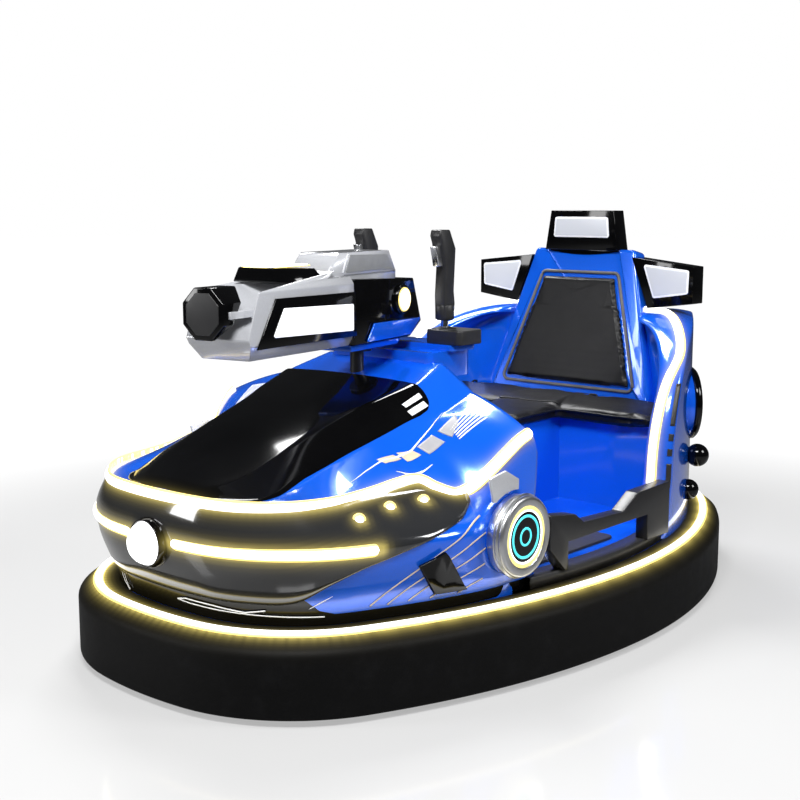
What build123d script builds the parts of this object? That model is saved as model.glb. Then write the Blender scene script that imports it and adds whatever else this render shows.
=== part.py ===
"""Battery bumper car with a swivelling light cannon: floor at z = 0, front at -Y, driver's left at +X.

Lengths are millimetres and angles are degrees. The oval rubber bumper sets the plan; the body
mouldings follow the same oval at named insets, so they move with it.
"""

import math
import os

from build123d import *

# ---- Plan of the car -------------------------------------------------------------------------
half_width = 610
half_length = 975
front_corner_gap = 532  # from the side to the centre of the front corner's circle
front_corner_reach = 405  # from the front end to that centre
front_corner_radius = 400
rear_end_gap = 160  # from the side to the circle round the rear end, which is centred on the car
body_gap = 132  # from the side to the body's side


def from_nose(table):
    """Rows whose first entry is a distance behind the front end, with that entry turned into y."""
    return [(row[0] - half_length, *row[1:]) for row in table]


def from_tail(table):
    """Rows whose first entry is a distance ahead of the rear end, with that entry turned into y."""
    return [(half_length - row[0], *row[1:]) for row in table]


# ---- Bumper ring -----------------------------------------------------------------------------
ring_base = 12
ring_top = 176
ring_width = 95
ring_shoulder_drop = 26
ring_shoulder_run = 34
ring_edge_radius = 14
ring_light_inset = 39
ring_light_width = 13
ring_light_height = 7

# ---- Chassis ---------------------------------------------------------------------------------
sheet = 6
pan_base = 125
rail_size = 40
rail_end_gap = 415  # from the ring's end to the frame's
rail_motor_gap = 43  # from the motor to the rail beside it
slot_margin = 8
mount_hole_radius = 5.5
mount_hole_spacing = (120, 160)
socket_radius = 20
socket_bore_radius = 11
socket_depth = 28
socket_z = 300

wheel_radius = 80
wheel_width = 48
wheel_gap = 180  # from the ring's side to the wheel's middle
wheel_y = 60
rim_radius = 56
shaft_radius = 10
running_gap = 0.05
side_gap = 6
motor_radius = 41
motor_length = 150
bracket_width = 70

castor_gaps = (285, 335)  # from the ring's front and rear ends
castor_radius = 45
castor_width = 29
castor_trail = 32
castor_leg = 5
castor_pin_radius = 6
castor_crown_radius = 30
castor_plate = 110
seat_gap = 0.3

battery_size = (520, 180, 215)
battery_gap = 16  # behind the seat's front wall

# ---- Body ------------------------------------------------------------------------------------
wall = 6
floor_top = 200
nose_levels = ((176, 90), (225, 82), (300, 52), (355, 48), (430, 66), (560, 98))  # height, inset
# Tables from the nose: distance behind the front end, then height
led_line = ((-15, 415), (175, 416), (257, 436), (335, 463), (385, 457), (435, 430), (470, 422), (510, 437),
            (580, 474), (660, 512), (753, 556))
# The grey band's lower edge
band_edge = ((-15, 226), (162, 234), (204, 264), (250, 291), (315, 312), (445, 362))
cheek_lamps = ((253, 396), (320, 414), (387, 420))
step_pad = ((373, 287), (423, 311), (504, 213), (430, 214))
band_reach = 535
panel_front_reach = 187
panel_reach = 713
ribbon_proud = 8
ribbon_height = 18
cheek_proud = 6
cheek_radius = 8
pad_reach = 7
face_light_z = 335
face_light_reach = 275

# Distance behind the front end, half-width and height of the crown's edge, then of the windshield's side edge
hood_sections = (
    (79, 60, 424, 90, 421),
    (163, 140, 447, 200, 419),
    (345, 165, 515, 236, 475),
    (450, 180, 550, 252, 505),
    (640, 205, 603, 288, 556),
    (753, 180, 640, 292, 592),
)
hood_corner_gap = 61  # how far ahead of the middle the hood's rear corners stop
shield_proud = 3
shield_outline = ((125, 70), (175, 198), (585, 285), (625, 270), (640, 222))  # the second entry is half-width

lamp_z = 324
lamp_reach = 22
lamp_radius = 43
lamp_gap = 70  # from the ring's front end to the lamp's seat
bezel_radius = 50
bezel_length = 38

tunnel_half = 88
tunnel_line = ((270, 430), (460, 330), (550, 200))  # distance ahead of the seat's front wall, height
seat_front_gap = 575
seat_back_gap = 375
seat_deck = 430
seat_inset = 126
cushion_overhang = 38
cushion_rear_gap = 68
cushion_heights = (456, 459, 482)  # of its top at the saddle's front, the seat's front and the rear
cushion_edge = 10
saddle_half = 110
saddle_reach = 268

hub_reach, hub_z = 630, 310
hub_radius = 88
hub_depth = 42
# Hub's section: distance in from its face, then out from the rim's radius
hub_section = ((30, -8), (26, 4), (20, 4), (20, 0), (6, 0), (0, -8), (0, -34), (6, -36))
hub_face_radius = 50
# Distance behind the front end, height
tab_outline = ((560, 375), (648, 375), (648, 429), (603, 462), (548, 449))
tab_depth = 7

rail_width = 34
rail_start_gap = 99  # from the hub's middle to the rail's front end
# Distance behind the rail's front end and height, then ahead of the arm and height
rail_front = ((0, 335), (96, 322), (131, 298))
rail_rear = ((212, 291), (150, 326), (0, 330))
rail_opening = (70, 100, 264)  # from the rail's front end, from the arm, and its height
rail_cut = 60

# Rear body, side view: front edge, shoulder arc and tail, as distances ahead of the rear end and heights
arm_front_gap = 713
arm_centre_gap, arm_centre_z = 295, 330
arm_radius = 388
tail_line = ((245, 710), (107, 560))
rear_inset = 86
arch_overhang = 22  # of the arms beyond the body's side
arch_top = 716
arch_radius = 190
arch_drop = 58
arm_width = 92
scoop_radius = 152
arm_light_rise = 7
arm_light_sink = 2
arm_light_width = 14
arm_light_angles = (2, 62)
vent_proud = 2
# Vents beside the arm's light: distances behind the arm's front edge and heights of their four corners
vent_table = (
    ((12, 400), (24, 400), (28, 444), (16, 444)),
    ((17, 458), (29, 458), (32, 474), (20, 474)),
    ((22, 488), (34, 488), (38, 504), (26, 504)),
    ((28, 520), (40, 520), (58, 572), (46, 572)),
)

# Seat back, in its leaning plane
back_foot_gap, back_foot_z = 422, 485
back_lean = 11.5
back_thickness = 62
back_outline = ((-272, -50), (272, -50), (272, 5), (167, 401), (-167, 401), (-272, 5))
back_reach = 300
pad_outline = ((-223, 6), (223, 6), (126, 330), (-126, 330))
pad_proud = 10
lamp_back_gap = 65  # from the seat back's foot to the lamps' fronts
lamp_depth = 54
top_lamp = ((-123, 873), (123, 873), (105, 985), (-105, 985))
side_lamp = ((168, 857), (362, 836), (362, 736), (222, 717))
top_window = ((-94, 909), (94, 909), (89, 967), (-89, 967))
side_window = ((206, 839), (349, 826), (347, 762), (240, 746))
window_proud = 3

pod_gap, pod_z = 363, 468  # from the ring's rear end, and height
pod_sink = 20  # of the pod's middle behind the body's side
pod_radius = 92
pod_depth = 60
pod_proud = 25
pod_edge = 22
pod_turn = 45
ball_table = ((185, 419, 340, 31), (189, 455, 252, 28))  # from the side and the rear end, height, radius

# Console, as distances behind the front end
console_reach = (799, 889)
console_x = (90, 198)
console_z = (676, 710)
pedestal_half = 160
pedestal_z = (600, 662)
pedestal_reach = 735
column_half = 55
column_reach = (803, 871)
stick_x, stick_reach = 124, 833
stem_radius = 9
stem_length = 28
grip_half = 16
# Grip and trigger in side view: distance from the stem's axis and height over the console
grip_side = ((-18, 28), (-20, 80), (-15, 150), (-32, 205), (-38, 220), (-34, 234), (0, 234), (22, 190),
             (16, 90), (20, 60), (14, 28))
trigger_side = ((-8, 152), (-24, 196), (-39, 192), (-32, 152))
trigger_half = 7

# ---- Light cannon, in its own side view: forward of the pivot, height --------------------------
gun_reach = 660  # from the front end back to the pivot
gun_turn = 12
gun_half = 78
gun_base = 676
gun_side_outline = ((128, 690), (515, 694), (566, 738), (476, 861), (235, 846), (138, 846))
# Section of the body: distance across, height
gun_section = ((50, 676), (78, 726), (78, 830), (56, 870))
gun_crest = ((-50, 846), (-15, 898), (280, 905), (305, 886), (200, 846))
crest_half = 52
gun_rear_outline = ((128, 690), (128, 838), (-110, 829), (-150, 724), (-95, 690))
gun_rear_step = 4
gun_belly_outline = ((128, 676), (128, 690), (-95, 690), (-80, 676))
gun_belly_step = 14
gun_panel = ((441, 816), (138, 812), (132, 714), (506, 718))
gun_window = ((415, 795), (148, 786), (148, 727), (454, 738))
gun_panel_proud = 4
gun_window_proud = 2
gun_lamp = (-82, 781)
gun_lamp_radius = 26
gun_lamp_depth = 10
gun_top_outline = ((250, 846.5), (455, 861), (490, 866), (480, 886), (290, 880), (262, 860))
gun_top_half = 50
pin_radius = 10
pin_length = 30
post_radius = 16
post_crown_radius = 34
post_crown = 12
muzzle_z = 791
muzzle_root = 460
muzzle_front = 574
muzzle_radius = 52

# ---- Places that follow from the sizes above -----------------------------------------------------
wheel_x = half_width - wheel_gap
motor_face_x = wheel_x - wheel_width / 2 - side_gap
motor_root_x = motor_face_x - bracket_width / 10 - motor_length
rail_spacing = 2 * (motor_root_x - rail_motor_gap) - rail_size
castor_ys = {"front": castor_gaps[0] - half_length, "rear": half_length - castor_gaps[1]}
rail_half_length = half_length - rail_end_gap
body_half = half_width - body_gap
arch_half = body_half + arch_overhang
seat_half = arch_half - arm_width
led_line = from_nose(led_line)
band_edge = from_nose(band_edge)
cheek_lamps = from_nose(cheek_lamps)
step_pad = from_nose(step_pad)
hood_sections = from_nose(hood_sections)
shield_outline = from_nose(shield_outline)
tab_outline = from_nose(tab_outline)
band_rear_y = band_reach - half_length
panel_front_y = panel_front_reach - half_length
panel_rear_y = panel_reach - half_length
face_light_rear_y = face_light_reach - half_length
seat_front_y = half_length - seat_front_gap
seat_back_y = half_length - seat_back_gap
cushion_front_y = seat_front_y - cushion_overhang
cushion_rear_y = seat_back_y - cushion_rear_gap
saddle_front_y = seat_front_y - saddle_reach
hub_y = hub_reach - half_length
hub_face_x = body_half + hub_depth
rail_start_y = hub_y + rail_start_gap
arm_front_y = half_length - arm_front_gap
arm_centre = (half_length - arm_centre_gap, arm_centre_z)
tail_line = from_tail(tail_line)
back_foot = (half_length - back_foot_gap, back_foot_z)
lamp_front_y = back_foot[0] + lamp_back_gap
lamp_rear_y = lamp_front_y + lamp_depth
pod_y = half_length - pod_gap
console_y = tuple(reach - half_length for reach in console_reach)
column_y = tuple(reach - half_length for reach in column_reach)
pedestal_front_y = pedestal_reach - half_length
stick_y = stick_reach - half_length
gun_pivot_y = gun_reach - half_length


# ---- Shared outlines ---------------------------------------------------------------------------
def touching_radius(reach, offset, radius):
    """Radius of the arc centred on an axis that ends square to it and holds a circle touching it from inside.

    The circle's centre is at a distance (reach) from the arc's end along the axis and offset from the axis.
    """
    return (reach**2 + offset**2 - radius**2) / (2 * (reach - radius))


def quarter_arcs(corner_x, corner_y, radius):
    """Centre, radius and two angles of each arc of a quarter of the oval, from the side to the end."""
    side_radius = touching_radius(half_width - corner_x, corner_y, radius)
    side = Vector(half_width - side_radius, 0)
    corner = Vector(corner_x, corner_y)
    first = math.atan2(corner.Y - side.Y, corner.X - side.X)
    if corner_x == 0:
        return ((side, side_radius, 0, first), (corner, radius, first, math.pi / 2))
    end_radius = touching_radius(half_length - corner_y, corner_x, radius)
    end = Vector(0, half_length - end_radius)
    second = math.atan2(corner.Y - end.Y, corner.X - end.X)
    return (
        (side, side_radius, 0, first),
        (corner, radius, first, second),
        (end, end_radius, second, math.pi / 2),
    )


front_corner = (half_width - front_corner_gap, half_length - front_corner_reach)
front_arcs = quarter_arcs(*front_corner, front_corner_radius)
rear_end_radius = half_width - rear_end_gap
rear_arcs = quarter_arcs(0, half_length - rear_end_radius, rear_end_radius)


def oval(inset):
    """Draws the car's closed oval, set in by the given distance, into the open BuildLine."""
    for across, along in ((1, -1), (1, 1), (-1, 1), (-1, -1)):
        for centre, radius, start, stop in front_arcs if along < 0 else rear_arcs:
            points = []
            for angle in (start, (start + stop) / 2, stop):
                reach = radius - inset
                x = centre.X + reach * math.cos(angle)
                y = centre.Y + reach * math.sin(angle)
                points.append((across * x, along * y))
            ThreePointArc(*points)


def oval_face(height, inset):
    """The oval's face at a height, set in by a distance."""
    with BuildSketch(Plane.XY.offset(height)) as face:
        with BuildLine():
            oval(inset)
        make_face()
    return face.sketch


def oval_half_width(y, inset):
    """Half-width of the oval, set in by a distance, at a point along the car."""
    for centre, radius, start, stop in front_arcs if y < 0 else rear_arcs:
        reach = radius - inset
        low = centre.Y + reach * math.sin(start)
        high = centre.Y + reach * math.sin(stop)
        if low <= abs(y) <= high:
            return centre.X + math.sqrt(reach**2 - (abs(y) - centre.Y) ** 2)
    return 0


def between(table, value):
    """Straight-line value of a two-column table."""
    for (x0, y0), (x1, y1) in zip(table, table[1:]):
        if x0 <= value <= x1:
            return y0 + (y1 - y0) * (value - x0) / (x1 - x0)
    return table[-1][1] if value > table[-1][0] else table[0][1]


def side_prism(points, half=half_width + ring_width):
    """Prism across the car from a closed outline given as y and z."""
    with BuildPart() as prism:
        with BuildSketch(Plane.YZ):
            with BuildLine():
                Polyline(*points, close=True)
            make_face()
        extrude(amount=half, both=True)
    return prism.part


def slab(x0, x1, y0, y1, z0, z1):
    """Box between two corners."""
    with BuildPart(Location(((x0 + x1) / 2, (y0 + y1) / 2, (z0 + z1) / 2))) as box:
        Box(x1 - x0, y1 - y0, z1 - z0)
    return box.part


def nose_form(grow):
    """Solid inside the nose wall, grown outwards by a distance."""
    with BuildPart() as form:
        loft([oval_face(height, inset - grow) for height, inset in nose_levels], ruled=True)
        side = body_half + grow
        add(slab(-side, side, -half_length, 0, nose_levels[0][0], nose_levels[-1][0]), mode=Mode.INTERSECT)
    return form.part


def save(piece, name):
    """Labels a finished piece and writes it under its own name."""
    piece.label = name
    export_step(piece, f"parts/{name}.step")


def both_sides(piece):
    """The piece and its mirror image across the car, as one part of two solids."""
    with BuildPart() as pair:
        add(piece)
        mirror(about=Plane.YZ)
    return pair.part


os.makedirs("parts", exist_ok=True)

# ---- Bumper ring and its light -----------------------------------------------------------------
with BuildPart() as bumper_ring:
    extrude(oval_face(ring_base, 0), amount=ring_top - ring_base)
    top_rim = bumper_ring.faces().sort_by(Axis.Z)[-1].edges()
    chamfer(top_rim, length=ring_shoulder_drop, length2=ring_shoulder_run,
            reference=bumper_ring.faces().sort_by(Axis.Z)[-1])
    fillet(bumper_ring.faces().sort_by(Axis.Z)[0].edges(), radius=ring_edge_radius)
    extrude(oval_face(ring_base, ring_width), amount=ring_top - ring_base, mode=Mode.SUBTRACT)
save(bumper_ring.part, "bumper_ring")

with BuildPart() as ring_light:
    extrude(oval_face(ring_top, ring_light_inset), amount=ring_light_height)
    inner_edge = oval_face(ring_top, ring_light_inset + ring_light_width)
    extrude(inner_edge, amount=ring_light_height, mode=Mode.SUBTRACT)
save(ring_light.part, "ring_light")

# ---- Chassis -----------------------------------------------------------------------------------
pan_top = pan_base + sheet
wheel_slot = (wheel_width + 2 * slot_margin, 2 * (wheel_radius + slot_margin))
with BuildPart() as chassis_pan:
    extrude(oval_face(pan_base, ring_width), amount=sheet)
    with BuildSketch(Plane.XY.offset(pan_base)):
        with Locations((wheel_x, wheel_y), (-wheel_x, wheel_y)):
            Rectangle(*wheel_slot)
        with Locations((0, castor_ys["front"] + 3 * castor_plate)):
            with GridLocations(*mount_hole_spacing, 2, 2):
                Circle(mount_hole_radius)
    extrude(amount=sheet, mode=Mode.SUBTRACT)
save(chassis_pan.part, "chassis_pan")

with BuildPart() as chassis_frame:
    with BuildSketch(Plane.XY.offset(pan_base - rail_size)):
        with GridLocations(rail_spacing, 0, 2, 1):
            Rectangle(rail_size, 2 * rail_half_length)
        with GridLocations(0, 2 * rail_half_length - rail_size, 1, 2):
            Rectangle(rail_spacing, rail_size)
    extrude(amount=rail_size)
save(chassis_frame.part, "chassis_frame")

with BuildPart() as battery_block:
    with BuildSketch(Plane.XY.offset(pan_top)):
        with Locations((0, seat_front_y + battery_gap + battery_size[1] / 2)):
            RectangleRounded(battery_size[0], battery_size[1], 12)
    extrude(amount=battery_size[2])
save(battery_block.part, "battery_block")

# Gear motor with its shaft, hung under the pan by a bracket
across_car = Plane(origin=(0, wheel_y, wheel_radius), x_dir=(0, 1, 0), z_dir=(1, 0, 0))
with BuildPart() as motor:
    with BuildSketch(across_car.offset(motor_root_x)):
        Circle(motor_radius)
    extrude(amount=motor_length)
    with BuildSketch(across_car.offset(motor_face_x)):
        Circle(shaft_radius)
    extrude(amount=wheel_width + side_gap)
    with BuildSketch(across_car.offset(motor_face_x - bracket_width / 10)):
        Circle(shaft_radius)
    extrude(amount=bracket_width / 10)
save(both_sides(motor.part), "drive_motors")

with BuildPart() as bracket:
    with BuildSketch(across_car.offset(motor_face_x - bracket_width / 10)):
        with Locations((0, (pan_base - wheel_radius) / 2)):
            Rectangle(bracket_width, pan_base - wheel_radius)
        Circle(bracket_width / 2)
        Circle(shaft_radius, mode=Mode.SUBTRACT)
    extrude(amount=bracket_width / 10)
save(both_sides(bracket.part), "motor_brackets")

for side, sign in (("left", 1), ("right", -1)):
    wheel_plane = Plane(origin=(sign * (wheel_x - wheel_width / 2), wheel_y, wheel_radius),
                        x_dir=(0, 1, 0), z_dir=(sign, 0, 0))
    with BuildPart() as rim:
        with BuildSketch(wheel_plane):
            Circle(rim_radius)
            Circle(shaft_radius + running_gap, mode=Mode.SUBTRACT)
            with PolarLocations(rim_radius * 0.62, 5):
                Circle(rim_radius * 0.17, mode=Mode.SUBTRACT)
        extrude(amount=wheel_width)
    save(rim.part, f"wheel_rim_{side}")
    with BuildPart() as tyre:
        with BuildSketch(wheel_plane):
            Circle(wheel_radius)
        extrude(amount=wheel_width)
        fillet(tyre.edges().filter_by(GeomType.CIRCLE), radius=wheel_width / 6)
        with BuildSketch(wheel_plane):
            Circle(rim_radius)
        extrude(amount=wheel_width, mode=Mode.SUBTRACT)
    save(tyre.part, f"tyre_{side}")

# Castors: a plate with a boss under the pan, a fork that swivels on it, and a trailing wheel
boss_radius = 22
boss_base = pan_base - 11
plate_base = pan_base - sheet
crown_top = boss_base - seat_gap
crown_base = crown_top - sheet
leg_x = castor_width / 2 + 5.5
with BuildPart() as castor_plates:
    for castor_y in castor_ys.values():
        with BuildSketch(Plane.XY.offset(plate_base)):
            with Locations((0, castor_y)):
                RectangleRounded(castor_plate, castor_plate, 8)
        extrude(amount=sheet)
        with BuildSketch(Plane.XY.offset(boss_base)):
            with Locations((0, castor_y)):
                Circle(boss_radius)
        extrude(amount=plate_base - boss_base)
        with BuildSketch(Plane.XY.offset(boss_base)):
            with Locations((0, castor_y)):
                Circle(castor_pin_radius + running_gap)
        extrude(amount=pan_base - boss_base, mode=Mode.SUBTRACT)
save(castor_plates.part, "castor_plates")

for name, castor_y in castor_ys.items():
    axle_y = castor_y + castor_trail
    with BuildPart() as fork:
        with BuildSketch(Plane.XY.offset(crown_base)):
            with Locations((0, castor_y)):
                Circle(castor_crown_radius)
        extrude(amount=sheet)
        with BuildSketch(Plane.XY.offset(crown_top)):
            with Locations((0, castor_y)):
                Circle(castor_pin_radius)
        extrude(amount=pan_base - crown_top - 1)
        with BuildSketch(Plane.YZ.offset(leg_x)):
            with Locations((castor_y, crown_top - 1)):
                Rectangle(castor_crown_radius, 2)
            with Locations((axle_y, castor_radius)):
                Circle(12)
            make_hull()
        extrude(amount=castor_leg)
        mirror(about=Plane.YZ)
        with BuildSketch(Plane.YZ.offset(-leg_x - castor_leg)):
            with Locations((axle_y, castor_radius)):
                Circle(castor_pin_radius)
        extrude(amount=2 * (leg_x + castor_leg))
    save(fork.part, f"castor_fork_{name}")
    with BuildPart() as castor_wheel:
        with BuildSketch(Plane.YZ.offset(-castor_width / 2)):
            with Locations((axle_y, castor_radius)):
                Circle(castor_radius)
        extrude(amount=castor_width)
        fillet(castor_wheel.edges().filter_by(GeomType.CIRCLE), radius=5)
        with BuildSketch(Plane.YZ.offset(-leg_x + seat_gap)):
            with Locations((axle_y, castor_radius)):
                Circle(2 * castor_pin_radius)
        extrude(amount=2 * (leg_x - seat_gap))
        with BuildSketch(Plane.YZ.offset(-leg_x)):
            with Locations((axle_y, castor_radius)):
                Circle(castor_pin_radius + running_gap)
        extrude(amount=2 * leg_x, mode=Mode.SUBTRACT)
    save(castor_wheel.part, f"castor_wheel_{name}")

# ---- Seat recess, shared by the tub, the rear body and the cushion --------------------------------
def seat_plan(height, gap=0, front=seat_front_y, rear=seat_back_y):
    """Plan of the seat between the arms: the oval set in, as wide as the seat allows."""
    with BuildSketch(Plane.XY.offset(height)) as plan:
        with BuildLine():
            oval(seat_inset + gap)
        make_face()
        with Locations((0, (front + rear) / 2)):
            Rectangle(2 * (seat_half - gap), rear - front, mode=Mode.INTERSECT)
    return plan.sketch


tunnel_top = [(seat_front_y - ahead, height) for ahead, height in tunnel_line]
tunnel_outer = ((seat_front_y, floor_top), (seat_front_y, seat_deck), *tunnel_top)
tunnel_inner = ((seat_front_y + wall, floor_top - wall), (seat_front_y + wall, seat_deck - wall),
                (tunnel_top[0][0], seat_deck - wall), *[(y + wall, z - wall) for y, z in tunnel_top[1:]])

# ---- Tub: floor, tunnel, seat base ---------------------------------------------------------------
tub_inset = ring_width + 3
with BuildPart() as tub:
    extrude(oval_face(pan_top, tub_inset), amount=floor_top - pan_top)
    extrude(oval_face(pan_top, tub_inset + wall), amount=floor_top - wall - pan_top, mode=Mode.SUBTRACT)
    add(slab(-half_width, half_width, seat_front_y, half_length, pan_base, floor_top), mode=Mode.SUBTRACT)
    for side in (-1, 1):
        edge = side * (body_half - wall)
        add(slab(*sorted((edge, side * half_width)), -half_length, panel_rear_y, pan_base, floor_top),
            mode=Mode.SUBTRACT)
    extrude(seat_plan(seat_deck - wall), amount=wall)
    add(slab(-seat_half, seat_half, seat_front_y, seat_front_y + wall, floor_top - wall, seat_deck))
    add(side_prism(tunnel_outer, tunnel_half))
    add(side_prism(tunnel_inner, tunnel_half - wall), mode=Mode.SUBTRACT)
save(tub.part, "tub")

# ---- Nose: skirt, grey band, side panels ---------------------------------------------------------
nose_outer = nose_form(0)
nose_inner = nose_form(-wall)
nose_proud = nose_form(ribbon_proud)
lamp_axis = Plane(origin=(0, 0, lamp_z), x_dir=(1, 0, 0), z_dir=(0, -1, 0))
lamp_seat_y = half_length - lamp_gap
skirt_base = nose_levels[0][0]

band_tip = (band_rear_y, between(led_line, band_rear_y))
seam_ahead = [point for point in reversed(led_line) if point[0] < band_rear_y]
with BuildPart() as nose_band:
    add(nose_outer)
    add(nose_inner, mode=Mode.SUBTRACT)
    add(side_prism((*band_edge, band_tip, *seam_ahead)), mode=Mode.INTERSECT)
    with BuildSketch(lamp_axis.offset(half_length / 2)):
        Circle(bezel_radius)
    extrude(amount=half_length, mode=Mode.SUBTRACT)
save(nose_band.part, "nose_band")

with BuildPart() as nose_skirt:
    add(nose_outer)
    add(nose_inner, mode=Mode.SUBTRACT)
    add(side_prism(((band_edge[0][0], skirt_base), (panel_front_y, skirt_base), band_edge[1], band_edge[0])),
        mode=Mode.INTERSECT)
save(nose_skirt.part, "nose_skirt")

with BuildPart() as side_panel:
    add(nose_outer)
    add(nose_inner, mode=Mode.SUBTRACT)
    seam_behind = [point for point in led_line if band_rear_y < point[0] < panel_rear_y]
    add(side_prism(((panel_front_y, skirt_base), (panel_rear_y, skirt_base),
                    (panel_rear_y, between(led_line, panel_rear_y)), *reversed(seam_behind), band_tip,
                    *reversed(band_edge[1:]))), mode=Mode.INTERSECT)
    add(slab(0, half_width, -half_length, 0, 0, arch_top), mode=Mode.INTERSECT)
save(side_panel.part, "side_panel_left")
with BuildPart() as side_panel_right:
    add(mirror(side_panel.part, about=Plane.YZ))
save(side_panel_right.part, "side_panel_right")


# ---- Hood ----------------------------------------------------------------------------------------
seam_ys = [y for y, z in led_line[2:-1]]
hood_ys = sorted({row[0] for row in hood_sections} | set(seam_ys))


def hood_form(shrink, lift=0):
    """Solid under the hood's skin: straight-sided sections from the nose to the rear edge."""
    with BuildPart() as form:
        for y in hood_ys:
            crown, crown_z, edge, edge_z = (
                between([(row[0], row[k]) for row in hood_sections], y) for k in (1, 2, 3, 4)
            )
            seam_z = between(led_line, y)
            seam = min(oval_half_width(y, between(nose_levels, seam_z)), body_half) - shrink
            low = seam_z - (wall if shrink else 0)
            with BuildSketch(Plane.XZ.offset(-y)):
                with BuildLine():
                    Polyline((-seam, low), (-edge + shrink / 2, edge_z - shrink + lift),
                             (-crown + shrink / 2, crown_z - shrink + lift),
                             (crown - shrink / 2, crown_z - shrink + lift),
                             (edge - shrink / 2, edge_z - shrink + lift), (seam, low), close=True)
                make_face()
        loft(ruled=True)
    return form.part


def rear_corners():
    """Wedges behind the hood's rear edge, which runs forward from its middle to the sides."""
    rear, middle = hood_sections[-1][:2]
    corner = rear - hood_corner_gap
    with BuildPart() as wedges:
        with BuildSketch(Plane.XY):
            with BuildLine():
                Polyline((middle, rear), (body_half, corner), (half_width, corner), (half_width, rear + wall),
                         (middle, rear + wall), close=True)
            make_face()
        extrude(amount=arch_top)
        mirror(about=Plane.YZ)
    return wedges.part


hood_outer = hood_form(0)
hood_inner = hood_form(wall)
hood_wedges = rear_corners()
with BuildPart() as hood_shell:
    add(hood_outer)
    add(hood_inner, mode=Mode.SUBTRACT)
    add(hood_wedges, mode=Mode.SUBTRACT)
save(hood_shell.part, "hood_shell")

with BuildPart() as windshield:
    add(hood_form(0, shield_proud))
    add(hood_outer, mode=Mode.SUBTRACT)
    with BuildSketch(Plane.XY):
        with BuildLine():
            left = [(x, y) for y, x in shield_outline]
            Polyline(*left, *[(-x, y) for x, y in reversed(left)], close=True)
        make_face()
    extrude(amount=arch_top, mode=Mode.INTERSECT)
save(windshield.part, "windshield")

ribbon_up = ribbon_height / 2
with BuildPart() as hood_light:
    add(nose_proud)
    add(nose_outer, mode=Mode.SUBTRACT)
    lower = [(y, z - ribbon_up) for y, z in led_line]
    add(side_prism((*lower, *[(y, z + 2 * ribbon_up) for y, z in reversed(lower)])), mode=Mode.INTERSECT)
    add(hood_wedges, mode=Mode.SUBTRACT)
save(hood_light.part, "hood_light")

with BuildPart() as face_lights:
    add(nose_proud)
    add(nose_outer, mode=Mode.SUBTRACT)
    add(slab(bezel_radius + 2 * ribbon_proud, half_width, -half_length, face_light_rear_y,
             face_light_z - ribbon_up, face_light_z + ribbon_up), mode=Mode.INTERSECT)
    mirror(about=Plane.YZ)
save(face_lights.part, "face_lights")

with BuildPart() as nose_bezel:
    with BuildSketch(lamp_axis.offset(lamp_seat_y)):
        Circle(bezel_radius)
        Circle(lamp_radius, mode=Mode.SUBTRACT)
    extrude(amount=bezel_length)
save(nose_bezel.part, "nose_bezel")

with BuildPart() as nose_lamp:
    with BuildSketch(lamp_axis.offset(lamp_seat_y)):
        Circle(lamp_radius)
    extrude(amount=lamp_reach)
    with Locations((0, -lamp_seat_y - lamp_reach, lamp_z)):
        Sphere(lamp_radius)
save(nose_lamp.part, "nose_lamp")

with BuildPart() as cheek_lights:
    add(nose_form(cheek_proud))
    add(nose_outer, mode=Mode.SUBTRACT)
    with BuildSketch(Plane.YZ):
        with Locations(*cheek_lamps):
            Circle(cheek_radius)
    extrude(amount=half_width, both=True, mode=Mode.INTERSECT)
save(cheek_lights.part, "cheek_lights")

with BuildPart() as step_pads:
    add(nose_form(pad_reach))
    add(nose_outer, mode=Mode.SUBTRACT)
    add(side_prism(step_pad), mode=Mode.INTERSECT)
save(step_pads.part, "step_pads")

# ---- Hubs and step rails --------------------------------------------------------------------------
hub_side = Plane(origin=(0, hub_y, hub_z), x_dir=(0, 1, 0), z_dir=(1, 0, 0))
with BuildPart() as hub_drum:
    with BuildSketch(Plane.XY.offset(hub_z)):
        with BuildLine():
            rim = [(hub_face_x - depth, hub_y + hub_radius + out) for depth, out in hub_section]
            Polyline((body_half, hub_y), (body_half, rim[0][1]), *rim, (rim[-1][0], hub_y), close=True)
        make_face()
    revolve(axis=Axis((0, hub_y, hub_z), (1, 0, 0)))
save(both_sides(hub_drum.part), "hub_drums")

hub_seat = hub_section[-1][0]
with BuildPart() as hub_face:
    with BuildSketch(hub_side.offset(hub_face_x - hub_seat)):
        Circle(hub_face_radius)
    extrude(amount=hub_seat + 1)
save(both_sides(hub_face.part), "hub_faces")

with BuildPart() as hub_tab:
    with BuildSketch(Plane.YZ.offset(body_half)):
        with BuildLine():
            Polyline(*tab_outline, close=True)
        make_face()
        with Locations((hub_y, hub_z)):
            Circle(hub_radius, mode=Mode.SUBTRACT)
    extrude(amount=tab_depth)
    add(hood_light.part, mode=Mode.SUBTRACT)
save(both_sides(hub_tab.part), "hub_tabs")

# Step rail: solid in side view, with one opening between its two feet
rail_top = [(rail_start_y + behind, z) for behind, z in rail_front]
rail_top += [(arm_front_y - ahead, z) for ahead, z in rail_rear]
opening_start = rail_start_y + rail_opening[0]
opening_end = arm_front_y - rail_opening[1]
for side, sign in (("left", 1), ("right", -1)):
    with BuildPart() as step:
        with BuildSketch(Plane.YZ.offset(sign * body_half)):
            with BuildLine():
                Polyline(*rail_top, (arm_front_y, floor_top), (opening_end, floor_top),
                         (opening_end, rail_opening[2]), (opening_start, rail_opening[2]),
                         (opening_start, floor_top), (rail_start_y + rail_cut, floor_top),
                         (rail_start_y, floor_top + rail_cut), close=True)
            make_face()
        extrude(amount=sign * rail_width)
    save(step.part, f"side_rail_{side}")

lean = math.radians(back_lean)


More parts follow.
